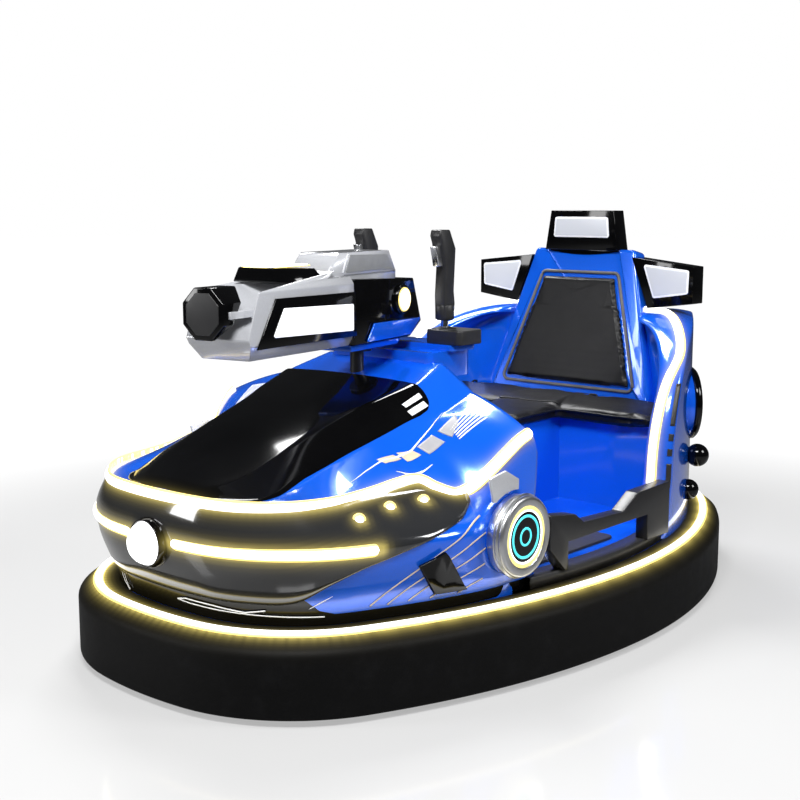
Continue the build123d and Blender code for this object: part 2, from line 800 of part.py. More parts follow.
# ---- Rear body with the two arms -------------------------------------------------------------------
def rear_form(shrink):
    """Solid inside the rear moulding: the oval, the arch seen from ahead and the side outline."""
    with BuildPart() as form:
        extrude(oval_face(ring_top, rear_inset + shrink), amount=arch_top - ring_top)
        half = arch_half - shrink
        top = arch_top - shrink
        with BuildSketch(Plane.XZ.offset(-half_length)):
            with BuildLine():
                FilletPolyline((-half, 0), (-half, top), (half, top), (half, 0), radius=arch_radius)
                Line((half, 0), (-half, 0))
            make_face()
        extrude(amount=half_length, mode=Mode.INTERSECT)
        with BuildSketch(Plane.YZ.offset(-half_width)):
            front = arm_front_y + shrink
            radius = arm_radius - shrink
            turn = math.acos((arm_centre[0] - front) / radius) if radius > arm_centre[0] - front else 0
            foot = (arm_centre[0] - radius * math.cos(turn), arm_centre[1] + radius * math.sin(turn))
            with BuildLine():
                halfway = radius * math.sin(math.radians(45))
                ThreePointArc(foot, (arm_centre[0] - halfway, arm_centre[1] + halfway),
                              (arm_centre[0], arm_centre[1] + radius))
                Polyline((arm_centre[0], arm_centre[1] + radius), (tail_line[0][0], tail_line[0][1] - shrink),
                         (tail_line[1][0] - shrink, tail_line[1][1] - shrink), (half_length, ring_top),
                         (front, ring_top), foot)
            make_face()
        extrude(amount=2 * half_width, mode=Mode.INTERSECT)
    return form.part


back_prism_plane = Plane(origin=(0, back_foot[0], back_foot[1]), x_dir=(1, 0, 0),
                         z_dir=(0, -math.cos(lean), math.sin(lean)))


def back_prism(outline, front, rear):
    """Prism through the leaning seat back, between two distances ahead of its front plane."""
    with BuildPart() as prism:
        with BuildSketch(back_prism_plane.offset(rear)):
            with BuildLine():
                Polyline(*outline, close=True)
            make_face()
        extrude(amount=front - rear)
    return prism.part


rear_outer = rear_form(0)
with BuildPart() as scoop:
    with BuildSketch(Plane.XZ.offset(-seat_back_y)):
        with BuildLine():
            scoop_top = arch_top - arch_drop
            FilletPolyline((-seat_half, 0), (-seat_half, scoop_top), (seat_half, scoop_top), (seat_half, 0),
                           radius=scoop_radius)
            Line((seat_half, 0), (-seat_half, 0))
        make_face()
    extrude(amount=half_length)
    extrude(oval_face(0, seat_inset), amount=arch_top, mode=Mode.INTERSECT)
with BuildPart() as rear_hollow:
    add(rear_form(wall))
    add(slab(-half_width, half_width, seat_back_y + wall, half_length, 0, arch_top), mode=Mode.INTERSECT)
    add(slab(-half_width, half_width, seat_back_y, half_length, ring_top, ring_top + wall))
with BuildPart() as rear_body:
    add(rear_outer)
    add(scoop.part, mode=Mode.SUBTRACT)
    add(rear_hollow.part, mode=Mode.SUBTRACT)
    add(slab(-half_width, half_width, 0, seat_front_y, 0, floor_top), mode=Mode.SUBTRACT)
    add(slab(-seat_half, seat_half, 0, seat_front_y + wall, 0, floor_top), mode=Mode.SUBTRACT)
    add(back_prism(back_outline, back_reach, -back_thickness), mode=Mode.SUBTRACT)
    with BuildSketch(Plane.XZ.offset(-half_length)):
        with Locations((0, socket_z)):
            Circle(socket_radius)
    extrude(amount=half_length / 4, mode=Mode.SUBTRACT)
save(rear_body.part, "rear_body")

# ---- Seat ---------------------------------------------------------------------------------------
with BuildPart() as seat_back:
    add(back_prism(back_outline, 0, -back_thickness))
    add(slab(-half_width, half_width, 0, half_length, 0, seat_deck), mode=Mode.SUBTRACT)
save(seat_back.part, "seat_back")

with BuildPart() as back_pad:
    add(back_prism(pad_outline, pad_proud + seat_gap, seat_gap))
save(back_pad.part, "back_pad")

cushion_ys = (saddle_front_y, cushion_front_y, cushion_rear_y)
cushion_base = seat_deck + seat_gap
cushion_peak = cushion_heights[-1]
with BuildPart() as seat_cushion:
    extrude(seat_plan(cushion_base, cushion_edge, cushion_front_y, cushion_rear_y),
            amount=cushion_peak - cushion_base)
    add(slab(-saddle_half, saddle_half, saddle_front_y, cushion_front_y + wall, cushion_base, cushion_peak))
    top = zip(cushion_ys, cushion_heights)
    add(side_prism(((saddle_front_y, seat_deck), *top, (cushion_rear_y, seat_deck))), mode=Mode.INTERSECT)
save(seat_cushion.part, "seat_cushion")

with BuildPart() as arm_lights:
    with BuildSketch(Plane.YZ.offset((seat_half + arch_half) / 2 - arm_light_width / 3)):
        with BuildLine():
            start, stop = (math.radians(angle) for angle in arm_light_angles)
            rim, core = (
                [(arm_centre[0] - radius * math.cos(angle), arm_centre[1] + radius * math.sin(angle))
                 for angle in (start, (start + stop) / 2, stop)]
                for radius in (arm_radius + arm_light_rise, arm_radius - arm_light_sink)
            )
            ThreePointArc(*rim)
            Line(rim[2], core[2])
            ThreePointArc(*reversed(core))
            Line(core[0], rim[0])
        make_face()
    extrude(amount=arm_light_width)
    add(rear_body.part, mode=Mode.SUBTRACT)
    mirror(about=Plane.YZ)
save(arm_lights.part, "arm_lights")

with BuildPart() as vent_cells:
    for vent in vent_table:
        reach = [math.sqrt(arm_radius**2 - (z - arm_centre[1]) ** 2) - behind for behind, z in vent]
        add(side_prism([(arm_centre[0] - ahead, z) for ahead, (behind, z) in zip(reach, vent)]))
    add(slab(-seat_half, seat_half, 0, half_length, 0, arch_top), mode=Mode.SUBTRACT)
with BuildPart() as arm_vents:
    add(rear_form(-vent_proud))
    add(rear_outer, mode=Mode.SUBTRACT)
    add(vent_cells.part, mode=Mode.INTERSECT)
save(arm_vents.part, "arm_vents")

# ---- Lamps round the seat back ------------------------------------------------------------------
front_on = Plane.XZ.offset(-lamp_rear_y)
with BuildPart() as lamp_boxes:
    with BuildSketch(front_on):
        with BuildLine():
            Polyline(*top_lamp, close=True)
        make_face()
        with BuildLine():
            Polyline(*side_lamp, close=True)
        make_face()
        with BuildLine():
            Polyline(*[(-x, z) for x, z in side_lamp], close=True)
        make_face()
    extrude(amount=lamp_rear_y - lamp_front_y)
    add(seat_back.part, mode=Mode.SUBTRACT)
save(lamp_boxes.part, "lamp_boxes")

with BuildPart() as lamp_windows:
    for window in (top_window, side_window, [(-x, z) for x, z in side_window]):
        with BuildSketch(Plane.XZ.offset(-lamp_front_y)):
            with BuildLine():
                Polyline(*window, close=True)
            make_face()
        extrude(amount=window_proud)
save(lamp_windows.part, "lamp_windows")

# ---- Rear pods and balls --------------------------------------------------------------------------
pod_centre = (oval_half_width(pod_y, rear_inset) - pod_sink, pod_y, pod_z)
pod_axis = Plane(origin=pod_centre, x_dir=(0, 0, 1),
                 z_dir=(math.sin(math.radians(pod_turn)), math.cos(math.radians(pod_turn)), 0))
with BuildPart() as pod:
    with BuildSketch(pod_axis.offset(-pod_depth)):
        Circle(pod_radius)
    extrude(amount=pod_depth + pod_proud)
    fillet(pod.faces().sort_by(Axis(pod_centre, pod_axis.z_dir))[-1].edges(), radius=pod_edge)
    add(rear_outer, mode=Mode.SUBTRACT)
save(both_sides(pod.part), "rear_pods")

with BuildPart() as balls:
    for from_side, from_end, z, radius in ball_table:
        with Locations((half_width - from_side, half_length - from_end, z)):
            Sphere(radius)
    add(rear_outer, mode=Mode.SUBTRACT)
save(both_sides(balls.part), "rear_balls")

rear_y = half_length - rear_inset
with BuildPart() as charge_socket:
    with BuildSketch(Plane.XZ.offset(-(rear_y - socket_depth))):
        with Locations((0, socket_z)):
            Circle(socket_radius)
    extrude(amount=-socket_depth - 6)
    with BuildSketch(Plane.XZ.offset(-rear_y)):
        with Locations((0, socket_z)):
            Circle(socket_radius * 1.4)
            Circle(socket_radius, mode=Mode.SUBTRACT)
    extrude(amount=-6)
    with BuildSketch(Plane.XZ.offset(-(rear_y + 6))):
        with Locations((0, socket_z)):
            Circle(socket_bore_radius)
    extrude(amount=socket_depth, mode=Mode.SUBTRACT)
save(charge_socket.part, "charge_socket")

# ---- Console and joysticks ------------------------------------------------------------------------
console_mid_y = (console_y[0] + console_y[1]) / 2
console_depth = console_y[1] - console_y[0]
with BuildPart() as pedestal:
    add(slab(-pedestal_half, pedestal_half, pedestal_front_y, console_y[1], *pedestal_z))
    add(slab(-console_x[1] + 20, console_x[1] - 20, console_y[0], console_y[1], pedestal_z[1], console_z[0]))
    fillet(pedestal.edges().filter_by(Axis.Z), 16)
    add(slab(-column_half, column_half, *column_y, floor_top, pedestal_z[0]))
    add(hood_outer, mode=Mode.SUBTRACT)
    add(side_prism(tunnel_outer, tunnel_half), mode=Mode.SUBTRACT)
save(pedestal.part, "pedestal")

with BuildPart() as console_plates:
    with BuildSketch(Plane.XY.offset(console_z[0])):
        with Locations(((console_x[0] + console_x[1]) / 2, console_mid_y)):
            RectangleRounded(console_x[1] - console_x[0], console_depth, 14)
    extrude(amount=console_z[1] - console_z[0])
save(both_sides(console_plates.part), "console_plates")

with BuildPart() as stems:
    with BuildSketch(Plane.XY.offset(console_z[1])):
        with Locations((stick_x, stick_y), (-stick_x, stick_y)):
            Circle(stem_radius)
    extrude(amount=stem_length)
save(stems.part, "joystick_stems")


def stick_prism(outline, half):
    """Prism of a joystick's side outline through both sticks."""
    with BuildPart() as prism:
        for x in (stick_x, -stick_x):
            with BuildSketch(Plane.YZ.offset(x - half)):
                with BuildLine():
                    Polyline(*[(stick_y + y, console_z[1] + z) for y, z in outline], close=True)
                make_face()
            extrude(amount=2 * half)
    return prism.part


grips = stick_prism(grip_side, grip_half)
save(grips, "joystick_grips")
with BuildPart() as triggers:
    add(stick_prism(trigger_side, trigger_half))
    add(grips, mode=Mode.SUBTRACT)
save(triggers.part, "joystick_triggers")

# ---- Light cannon -----------------------------------------------------------------------------------
turn = math.radians(gun_turn)
gun_forward = (math.sin(turn), -math.cos(turn), 0)
gun_across = (-math.cos(turn), -math.sin(turn), 0)
gun_left = (math.cos(turn), math.sin(turn), 0)
gun_side = Plane(origin=(0, gun_pivot_y, 0), x_dir=gun_forward, z_dir=gun_across)


def gun_prism(points, half):
    """Prism across the cannon from a closed outline in its side view."""
    with BuildPart() as prism:
        with BuildSketch(gun_side):
            with BuildLine():
                Polyline(*points, close=True)
            make_face()
        extrude(amount=half, both=True)
    return prism.part


post_foot = between([(row[0], row[2]) for row in hood_sections], gun_pivot_y)
with BuildPart() as gun_post:
    with BuildSketch(Plane.XY.offset(gun_base - post_crown)):
        with Locations((0, gun_pivot_y)):
            Circle(post_crown_radius)
    extrude(amount=post_crown - seat_gap)
    with BuildSketch(Plane.XY.offset(gun_base - post_crown)):
        with Locations((0, gun_pivot_y)):
            Circle(post_radius)
    extrude(amount=-(gun_base - post_foot))
    add(hood_outer, mode=Mode.SUBTRACT)
    with BuildSketch(Plane.XY.offset(gun_base)):
        with Locations((0, gun_pivot_y)):
            Circle(pin_radius + running_gap)
    extrude(amount=-pin_length - 2, mode=Mode.SUBTRACT)
save(gun_post.part, "gun_post")

with BuildPart() as gun_body:
    add(gun_prism(gun_side_outline, gun_half))
    with BuildSketch(Plane(origin=(0, gun_pivot_y, 0), x_dir=gun_left, z_dir=gun_forward)):
        with BuildLine():
            Polyline(*gun_section, *[(-x, z) for x, z in reversed(gun_section)], close=True)
        make_face()
    extrude(amount=half_length, both=True, mode=Mode.INTERSECT)
    add(gun_prism(gun_crest, crest_half))
save(gun_body.part, "gun_body")

muzzle_start = gun_side.origin + gun_side.x_dir * muzzle_root + Vector(0, 0, muzzle_z)
with BuildPart() as gun_muzzle:
    with BuildSketch(Plane(origin=muzzle_start, x_dir=gun_left, z_dir=gun_forward)):
        RegularPolygon(radius=muzzle_radius, side_count=8, rotation=22.5)
    extrude(amount=muzzle_front - muzzle_root)
    add(gun_body.part, mode=Mode.SUBTRACT)
save(gun_muzzle.part.solids().sort_by(SortBy.VOLUME)[-1], "gun_muzzle")

save(gun_prism(gun_rear_outline, gun_half - gun_rear_step), "gun_rear")

with BuildPart() as gun_belly:
    add(gun_prism(gun_belly_outline, gun_half - gun_belly_step))
    with BuildSketch(Plane.XY.offset(gun_base)):
        with Locations((0, gun_pivot_y)):
            Circle(pin_radius)
    extrude(amount=-pin_length)
save(gun_belly.part, "gun_belly")


def gun_plate(outline, start, depth):
    """Plate of a closed outline on each side of the cannon, from a distance across it."""
    with BuildPart() as plates:
        for sign in (1, -1):
            with BuildSketch(gun_side.offset(sign * start)):
                with BuildLine():
                    Polyline(*outline, close=True)
                make_face()
            extrude(amount=sign * depth)
    return plates.part


save(gun_plate(gun_panel, gun_half, gun_panel_proud), "gun_panels")
with BuildPart() as gun_lights:
    add(gun_plate(gun_window, gun_half + gun_panel_proud, gun_window_proud))
    for sign in (1, -1):
        with BuildSketch(gun_side.offset(sign * (gun_half - gun_rear_step))):
            with Locations(gun_lamp):
                Circle(gun_lamp_radius)
        extrude(amount=sign * gun_lamp_depth)
save(gun_lights.part, "gun_lights")

with BuildPart() as gun_top_lamp:
    add(gun_prism(gun_top_outline, gun_top_half))
    add(gun_body.part, mode=Mode.SUBTRACT)
save(gun_top_lamp.part.solids().sort_by(SortBy.VOLUME)[-1], "gun_top_lamp")
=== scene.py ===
"""Battery bumper car with a light cannon: mouldings, lights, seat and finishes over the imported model.

Metres throughout. The floor is z = 0, the front is -Y and the driver's left is +X.
Mouldings are grids of points worked out as arrays, and follow the oval of the rubber ring.
"""
import math

import bmesh
import bpy
import numpy as np
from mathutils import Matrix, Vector
from mathutils.bvhtree import BVHTree


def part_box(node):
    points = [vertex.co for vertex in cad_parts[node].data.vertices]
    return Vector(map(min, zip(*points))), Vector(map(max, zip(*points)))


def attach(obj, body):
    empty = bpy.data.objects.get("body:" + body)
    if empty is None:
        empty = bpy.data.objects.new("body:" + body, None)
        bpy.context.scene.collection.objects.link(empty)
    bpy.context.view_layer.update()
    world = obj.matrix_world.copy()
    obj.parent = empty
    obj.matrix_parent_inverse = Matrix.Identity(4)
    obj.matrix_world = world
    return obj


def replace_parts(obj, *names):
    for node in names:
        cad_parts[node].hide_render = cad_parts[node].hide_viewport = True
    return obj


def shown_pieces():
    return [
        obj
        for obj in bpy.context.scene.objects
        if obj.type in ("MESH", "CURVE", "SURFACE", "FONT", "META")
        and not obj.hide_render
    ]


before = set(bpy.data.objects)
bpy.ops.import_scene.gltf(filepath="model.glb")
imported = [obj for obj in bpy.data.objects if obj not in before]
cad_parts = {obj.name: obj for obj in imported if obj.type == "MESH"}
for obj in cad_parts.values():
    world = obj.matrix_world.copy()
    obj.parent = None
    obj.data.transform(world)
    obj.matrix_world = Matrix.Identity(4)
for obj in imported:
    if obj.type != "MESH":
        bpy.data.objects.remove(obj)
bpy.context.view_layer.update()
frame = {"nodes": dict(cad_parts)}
nodes = frame["nodes"]

# ---- Driving sizes ----
HALF_WIDTH, HALF_LENGTH, RING_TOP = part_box("bumper_ring")[1]
RING_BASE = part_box("bumper_ring")[0].z
FRONT_CORNER = (HALF_WIDTH - 0.532, HALF_LENGTH - 0.405, 0.4)  # centre and radius of the corner's circle
REAR_CORNER = (0, HALF_LENGTH - HALF_WIDTH + 0.16, HALF_WIDTH - 0.16)
FLOOR_TOP = 0.2
BODY_HALF = 0.478
REAR_INSET = 0.086
NOSE_LEVELS = ((0.17, 0.092), (0.225, 0.08), (0.3, 0.056), (0.355, 0.05), (0.43, 0.064), (0.52, 0.088))
SEAM = ((-0.99, 0.421), (-0.92, 0.4195), (-0.89, 0.418), (-0.86, 0.418), (-0.83, 0.419), (-0.8, 0.4202),
        (-0.76, 0.4215), (-0.718, 0.4232), (-0.68, 0.4258), (-0.64, 0.4298), (-0.595, 0.436), (-0.543, 0.4372),
        (-0.507, 0.4178), (-0.465, 0.404), (-0.43, 0.4148), (-0.396, 0.4412), (-0.35, 0.4818), (-0.316, 0.5075),
        (-0.283, 0.5225), (-0.222, 0.556))
BAND_EDGE = ((-0.99, 0.226), (-0.89, 0.222), (-0.82, 0.23), (-0.771, 0.264), (-0.725, 0.289), (-0.66, 0.312),
             (-0.6, 0.331), (-0.53, 0.3515), (-0.47, 0.369), (-0.435, 0.392))
LEAN = ((-0.99, 0.0), (-0.91, 0.004), (-0.86, 0.014), (-0.8, 0.024), (-0.74, 0.042), (-0.68, 0.063), (-0.6, 0.085),
        (-0.53, 0.09), (-0.47, 0.075), (-0.41, 0.045), (-0.35, 0.018), (-0.29, 0.0), (0.0, 0.0))
PANEL_REAR = -0.222
BAND_REAR = -0.442  # distance ahead at which the grey band ends
PROUDEST = 0.35  # height at which the nose wall stands furthest out
LEAN_FROM, LEAN_OVER = 0.33, 0.09
WARM = (1.0, 0.8, 0.2)
SIDES = (("left", 1), ("right", -1))
STRIP_SINK = 0.002  # how far a strip's base lies under the wall
lit_paths = []  # points of every light strip, from which the glow on the mouldings is worked out


# ---- Numbers to surfaces ----
def curve_through(table):
    """Smooth value of a two-column table: cubic Hermite spans whose slopes are central differences."""
    knots, values = np.array(table, float).T
    slopes = np.gradient(values, knots)

    def value(x):
        x = np.clip(np.asarray(x, float), knots[0], knots[-1])
        k = np.clip(np.searchsorted(knots, x, side="right") - 1, 0, len(knots) - 2)
        step = knots[k + 1] - knots[k]
        t = (x - knots[k]) / step
        return ((2 * t**3 - 3 * t**2 + 1) * values[k] + (t**3 - 2 * t**2 + t) * step * slopes[k]
                + (3 * t**2 - 2 * t**3) * values[k + 1] + (t**3 - t**2) * step * slopes[k + 1])

    return value


def lesser(a, b, blend=0.02):
    """Smooth minimum: (a + b - sqrt((a - b)^2 + blend^2)) / 2, which never exceeds either."""
    return (a + b - np.sqrt((a - b) ** 2 + blend**2)) / 2


def unit(vectors):
    """Vectors divided by their lengths."""
    return vectors / np.maximum(np.linalg.norm(vectors, axis=-1, keepdims=True), 1e-9)


def touching_radius(reach, offset, radius):
    """Radius of the arc that ends square to an axis and touches a smaller circle inside it, offset from the axis."""
    return (reach**2 + offset**2 - radius**2) / (2 * (reach - radius))


def quarter(corner_x, corner_y, radius, per_arc=48):
    """A quarter oval from the side (y = 0) to the end (x = 0), as centres, radii and outward normals.

    Its side and end arcs are tangent to the corner's circle; a corner centred on the car has no end arc.
    """
    side_radius = touching_radius(HALF_WIDTH - corner_x, corner_y, radius)
    side = np.array([HALF_WIDTH - side_radius, 0])
    corner = np.array([corner_x, corner_y])
    first = math.atan2(*(corner - side)[::-1])
    spans = [(side, side_radius, 0, first), (corner, radius, first, math.pi / 2)]
    if corner_x > 0:
        end_radius = touching_radius(HALF_LENGTH - corner_y, corner_x, radius)
        end = np.array([0, HALF_LENGTH - end_radius])
        second = math.atan2(*(corner - end)[::-1])
        spans = [spans[0], (corner, radius, first, second), (end, end_radius, second, math.pi / 2)]
    centres = np.concatenate([np.tile(centre, (per_arc, 1)) for centre, *_ in spans] + [[spans[-1][0]]])
    reach = np.concatenate([np.full(per_arc, arc) for _, arc, *_ in spans] + [[spans[-1][1]]])
    angle = np.concatenate([np.linspace(start, stop, per_arc, endpoint=False) for *_, start, stop in spans]
                           + [[math.pi / 2]])
    return centres, reach, np.stack([np.cos(angle), np.sin(angle)], 1)


def mirrored(points):
    """The points followed by their mirror image in x in reverse, so that a quarter outline becomes half."""
    return np.concatenate([points, points[-2::-1] * (-1, 1)])


def oval_half(corner, sign):
    """Half of the oval from +X round the end to -X, as centres, radii and outward normals."""
    centres, reach, normal = quarter(*corner)
    return mirrored(centres) * (1, sign), np.append(reach, reach[-2::-1]), mirrored(normal) * (1, sign)


FRONT_HALF = oval_half(FRONT_CORNER, -1)
REAR_HALF = oval_half(REAR_CORNER, 1)


def oval_points(half, inset):
    """Plan points of a half oval, each moved in along its normal by the inset."""
    centres, reach, normal = half
    return centres + normal * (reach - inset)[..., None]


def oval_at(half, inset, z):
    """Points of an oval moved in by the inset, at one height."""
    plan = oval_points(half, inset)
    return np.column_stack([plan, np.full(len(plan), z)])


def whole_oval():
    """The closed oval: the front half from +X to -X, then the rear half back again."""
    rear = [part[::-1][1:-1] for part in REAR_HALF]
    return tuple(np.concatenate([front, back]) for front, back in zip(FRONT_HALF, rear))


def piece(name, points, faces, finish, body, slot):
    """A mesh object of points and faces that rides on a body; its loose doubles are merged, faces outwards."""
    mesh = bpy.data.meshes.new(name)
    mesh.from_pydata(np.asarray(points, float).reshape(-1, 3).tolist(), [], [list(f) for f in faces])
    work = bmesh.new()
    work.from_mesh(mesh)
    bmesh.ops.remove_doubles(work, verts=work.verts, dist=2e-5)
    bmesh.ops.dissolve_degenerate(work, edges=work.edges, dist=1e-6)
    bmesh.ops.recalc_face_normals(work, faces=work.faces)
    work.to_mesh(mesh)
    work.free()
    made = bpy.data.objects.new(name, mesh)
    bpy.context.scene.collection.objects.link(made)
    mesh.shade_smooth()
    made.data.materials.append(finish.material)
    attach(made, body)
    slot or finish.slot
    return made


def weave(rows, columns, wrap_rows=False, wrap_columns=False, first=0):
    """Quads of a grid of points, closed on itself along the wrapped directions."""
    i = np.arange(rows if wrap_rows else rows - 1)[:, None]
    j = np.arange(columns if wrap_columns else columns - 1)[None, :]
    i_next, j_next = (i + 1) % rows, (j + 1) % columns
    corners = [i * columns + j, i_next * columns + j, i_next * columns + j_next, i * columns + j_next]
    return (np.stack(np.broadcast_arrays(*corners), -1).reshape(-1, 4) + first).tolist()


def skin(name, grid, finish, body="car", slot=None, wrap_rows=False, wrap_columns=False, wall=0.0, ends=False):
    """A piece from a grid of points (rows, columns, 3); ends closes its first and last rows with a face each."""
    rows, columns = grid.shape[:2]
    faces = weave(rows, columns, wrap_rows, wrap_columns)
    if ends:
        faces += [list(range(columns)), list(range((rows - 1) * columns, rows * columns))[::-1]]
    made = piece(name, grid, faces, finish, body, slot)
    if wall:
        thicken(made, wall)
    return made


def read_points(made):
    """A piece's points as rows."""
    points = np.empty(len(made.data.vertices) * 3)
    made.data.vertices.foreach_get("co", points)
    return points.reshape(-1, 3)


def write_points(made, points):
    """Puts a piece's points in new places."""
    made.data.vertices.foreach_set("co", points.ravel())
    made.data.update()


def face_out(made):
    """Turns an open skin over if most of its faces look towards the middle of the car."""
    normals, centres = (np.empty(len(made.data.polygons) * 3) for _ in range(2))
    made.data.polygons.foreach_get("normal", normals)
    made.data.polygons.foreach_get("center", centres)
    if np.sum(normals.reshape(-1, 3) * (centres.reshape(-1, 3) - (0, 0, 0.1))) < 0:
        made.data.flip_normals()


def thicken(made, wall):
    """Gives an open skin a wall on its inner side."""
    face_out(made)
    solid = made.modifiers.new("wall", "SOLIDIFY")
    solid.thickness = wall
    solid.offset = -1
    apply_modifiers(made)


def apply_modifiers(made):
    """Replaces a piece's mesh by what its modifiers make of it."""
    graph = bpy.context.evaluated_depsgraph_get()
    graph.update()
    finished = bpy.data.meshes.new_from_object(made.evaluated_get(graph), depsgraph=graph)
    made.modifiers.clear()
    made.data = finished


def rounded(corners, radius, per_corner=6):
    """Closed plan outline: each corner becomes an arc tangent to both sides, of the radius given or shorter."""
    corners = np.array(corners, float)
    radii = np.broadcast_to(radius, len(corners))
    outline = []
    for k, corner in enumerate(corners):
        back, ahead = corners[k - 1] - corner, corners[(k + 1) % len(corners)] - corner
        reach_back, reach_ahead = np.linalg.norm(back), np.linalg.norm(ahead)
        half = math.acos(np.clip(np.dot(back, ahead) / (reach_back * reach_ahead), -1, 1)) / 2
        reach = min(radii[k] / math.tan(half), 0.48 * reach_back, 0.48 * reach_ahead)
        start, stop = corner + back / reach_back * reach, corner + ahead / reach_ahead * reach
        t = np.linspace(0, 1, per_corner)[:, None]
        weight = math.sin(half)  # a rational quadratic arc through the corner's two tangent points
        blend = (1 - t) ** 2 + 2 * weight * t * (1 - t) + t**2
        outline.append(((1 - t) ** 2 * start + 2 * weight * t * (1 - t) * corner + t**2 * stop) / blend)
    return np.concatenate(outline)


def filled(outline, longest):
    """A closed outline with points added so that no side is longer than a length."""
    sides = zip(outline, np.roll(outline, -1, 0))
    return np.concatenate([np.linspace(start, stop, max(1, math.ceil(math.dist(start, stop) / longest)),
                                       endpoint=False) for start, stop in sides])


def shrunk(outline, amount):
    """A closed outline moved in by an amount along the mean normal of its two sides."""
    ahead = unit(np.roll(outline, -1, 0) - outline)
    mean = unit(ahead + np.roll(ahead, 1, 0))
    turn = np.clip((mean * ahead).sum(-1, keepdims=True), 0.35, 1)
    area = np.sum(outline[:, 0] * np.roll(outline[:, 1], -1) - np.roll(outline[:, 0], -1) * outline[:, 1])
    inward = np.stack([-mean[:, 1], mean[:, 0]], 1) * np.sign(area)
    return outline + inward * amount / turn


def block(name, outline, place, depth, finish, edge=0.004, body="car", slot=None, steps=4):
    """A rounded slab: the outline's rings run over a quarter-round edge, down the side and over the other edge.

    place(x, y, h) puts plan point (x, y) at height h of the slab into the car.
    """
    turn = np.linspace(0, math.pi / 2, steps + 1)
    insets = np.concatenate([edge * (1 - np.sin(turn)), edge * (1 - np.cos(turn))])
    heights = np.concatenate([edge * (1 - np.cos(turn)), depth - edge + edge * np.sin(turn)])
    rings = [place(*shrunk(outline, inset).T, np.full(len(outline), height))
             for inset, height in zip(insets, heights)]
    return skin(name, np.array(rings), finish, body, slot, wrap_columns=True, ends=True)


def turned(name, profile, centre, axis, finish, body="car", slot=None, count=72, ends=True):
    """A turned part: the profile's (along, radius) points carried round an axis through the centre."""
    axis = unit(np.array(axis, float))
    across = unit(np.cross(axis, (0.31, 0.27, 0.91)))
    other = np.cross(axis, across)
    angle = np.linspace(0, 2 * math.pi, count, endpoint=False)
    circle = np.cos(angle)[:, None] * across + np.sin(angle)[:, None] * other
    along, radius = np.array(profile, float).T
    grid = np.array(centre) + along[:, None, None] * axis + radius[:, None, None] * circle[None]
    return skin(name, grid, finish, body, slot, wrap_columns=True, ends=ends)


def light_strip(name, path, outward, finish, width, proud, closed=False, lit=True):
    """A half-round diffuser along a path: width * cos t across it and proud * sin t outwards, t from 0 to pi.

    Its open ends shrink along a quarter ellipse, so that they close as round noses.
    """
    path, outward = np.asarray(path, float), unit(np.asarray(outward, float))
    ahead = np.roll(path, -1, 0) - np.roll(path, 1, 0) if closed else np.gradient(path, axis=0)
    across = unit(np.cross(unit(ahead), outward))
    t = np.linspace(0, math.pi, 9)
    shrink = np.ones(len(path))
    if not closed:
        run = np.concatenate([[0], np.cumsum(np.linalg.norm(np.diff(path, axis=0), axis=1))])
        reach = np.minimum(run, run[-1] - run) / (width / 2)
        shrink = np.sqrt(np.clip(1 - (1 - np.clip(reach, 0, 1)) ** 2, 0, 1))
    size = shrink[:, None, None]
    grid = (path[:, None] + across[:, None] * (np.cos(t)[None, :, None] * width / 2 * size) + outward[:, None]
            * (np.sin(t)[None, :, None] * proud * np.maximum(size, 0.02)))
    edges = np.array([-1, 1])[None, :, None] * width / 2 * size
    base = path[:, None] - outward[:, None] * STRIP_SINK + across[:, None] * edges
    made = skin(name, np.concatenate([grid, base], 1), finish, wrap_rows=closed, wrap_columns=True)
    if lit:
        lit_paths.append(path)
        light_strip(f"{name}_edge", path, outward, strip_edge, width + 0.007, 0.35 * proud, closed, False)
    return made


def even(path, count):
    """A path resampled at even steps of its length."""
    path = np.asarray(path, float)
    run = np.concatenate([[0], np.cumsum(np.linalg.norm(np.diff(path, axis=0), axis=1))])
    wanted = np.linspace(0, run[-1], count)
    return np.stack([np.interp(wanted, run, path[:, k]) for k in range(path.shape[1])], 1)


def tube(name, path, radius, finish, closed=False, rounds=8):
    """A round tube carried along a path, with frames kept square to it by the cross products with its tangent."""
    path = np.asarray(path, float)
    ahead = unit(np.roll(path, -1, 0) - np.roll(path, 1, 0) if closed else np.gradient(path, axis=0))
    helper = np.where(np.abs(ahead[:, 2:3]) > 0.9, [[1.0, 0, 0]], [[0, 0, 1.0]])
    side = unit(np.cross(ahead, helper))
    up = np.cross(side, ahead)
    angle = np.linspace(0, 2 * math.pi, rounds, endpoint=False)
    radius = np.broadcast_to(radius, len(path))[:, None, None]
    circle = np.cos(angle)[None, :, None] * side[:, None] + np.sin(angle)[None, :, None] * up[:, None]
    return skin(name, path[:, None] + radius * circle, finish, wrap_rows=closed, wrap_columns=True, ends=not closed)


# ---- Finishes ----
class Value:
    """A socket of a node tree; arithmetic on it adds Math nodes."""

    def __init__(self, nodes, socket):
        self.nodes = nodes
        self.socket = socket

    def maths(self, operation, other):
        return self.nodes.node("ShaderNodeMath", {"operation": operation}, {0: self, 1: other})

    def __add__(self, other):
        return self.maths("ADD", other)

    def __mul__(self, other):
        return self.maths("MULTIPLY", other)

    def smooth(self, low, high):
        """0 below low, 1 above high and a smooth step between."""
        return self.nodes.node("ShaderNodeMapRange", {"interpolation_type": "SMOOTHSTEP"},
                               {"Value": self, "From Min": low, "From Max": high})


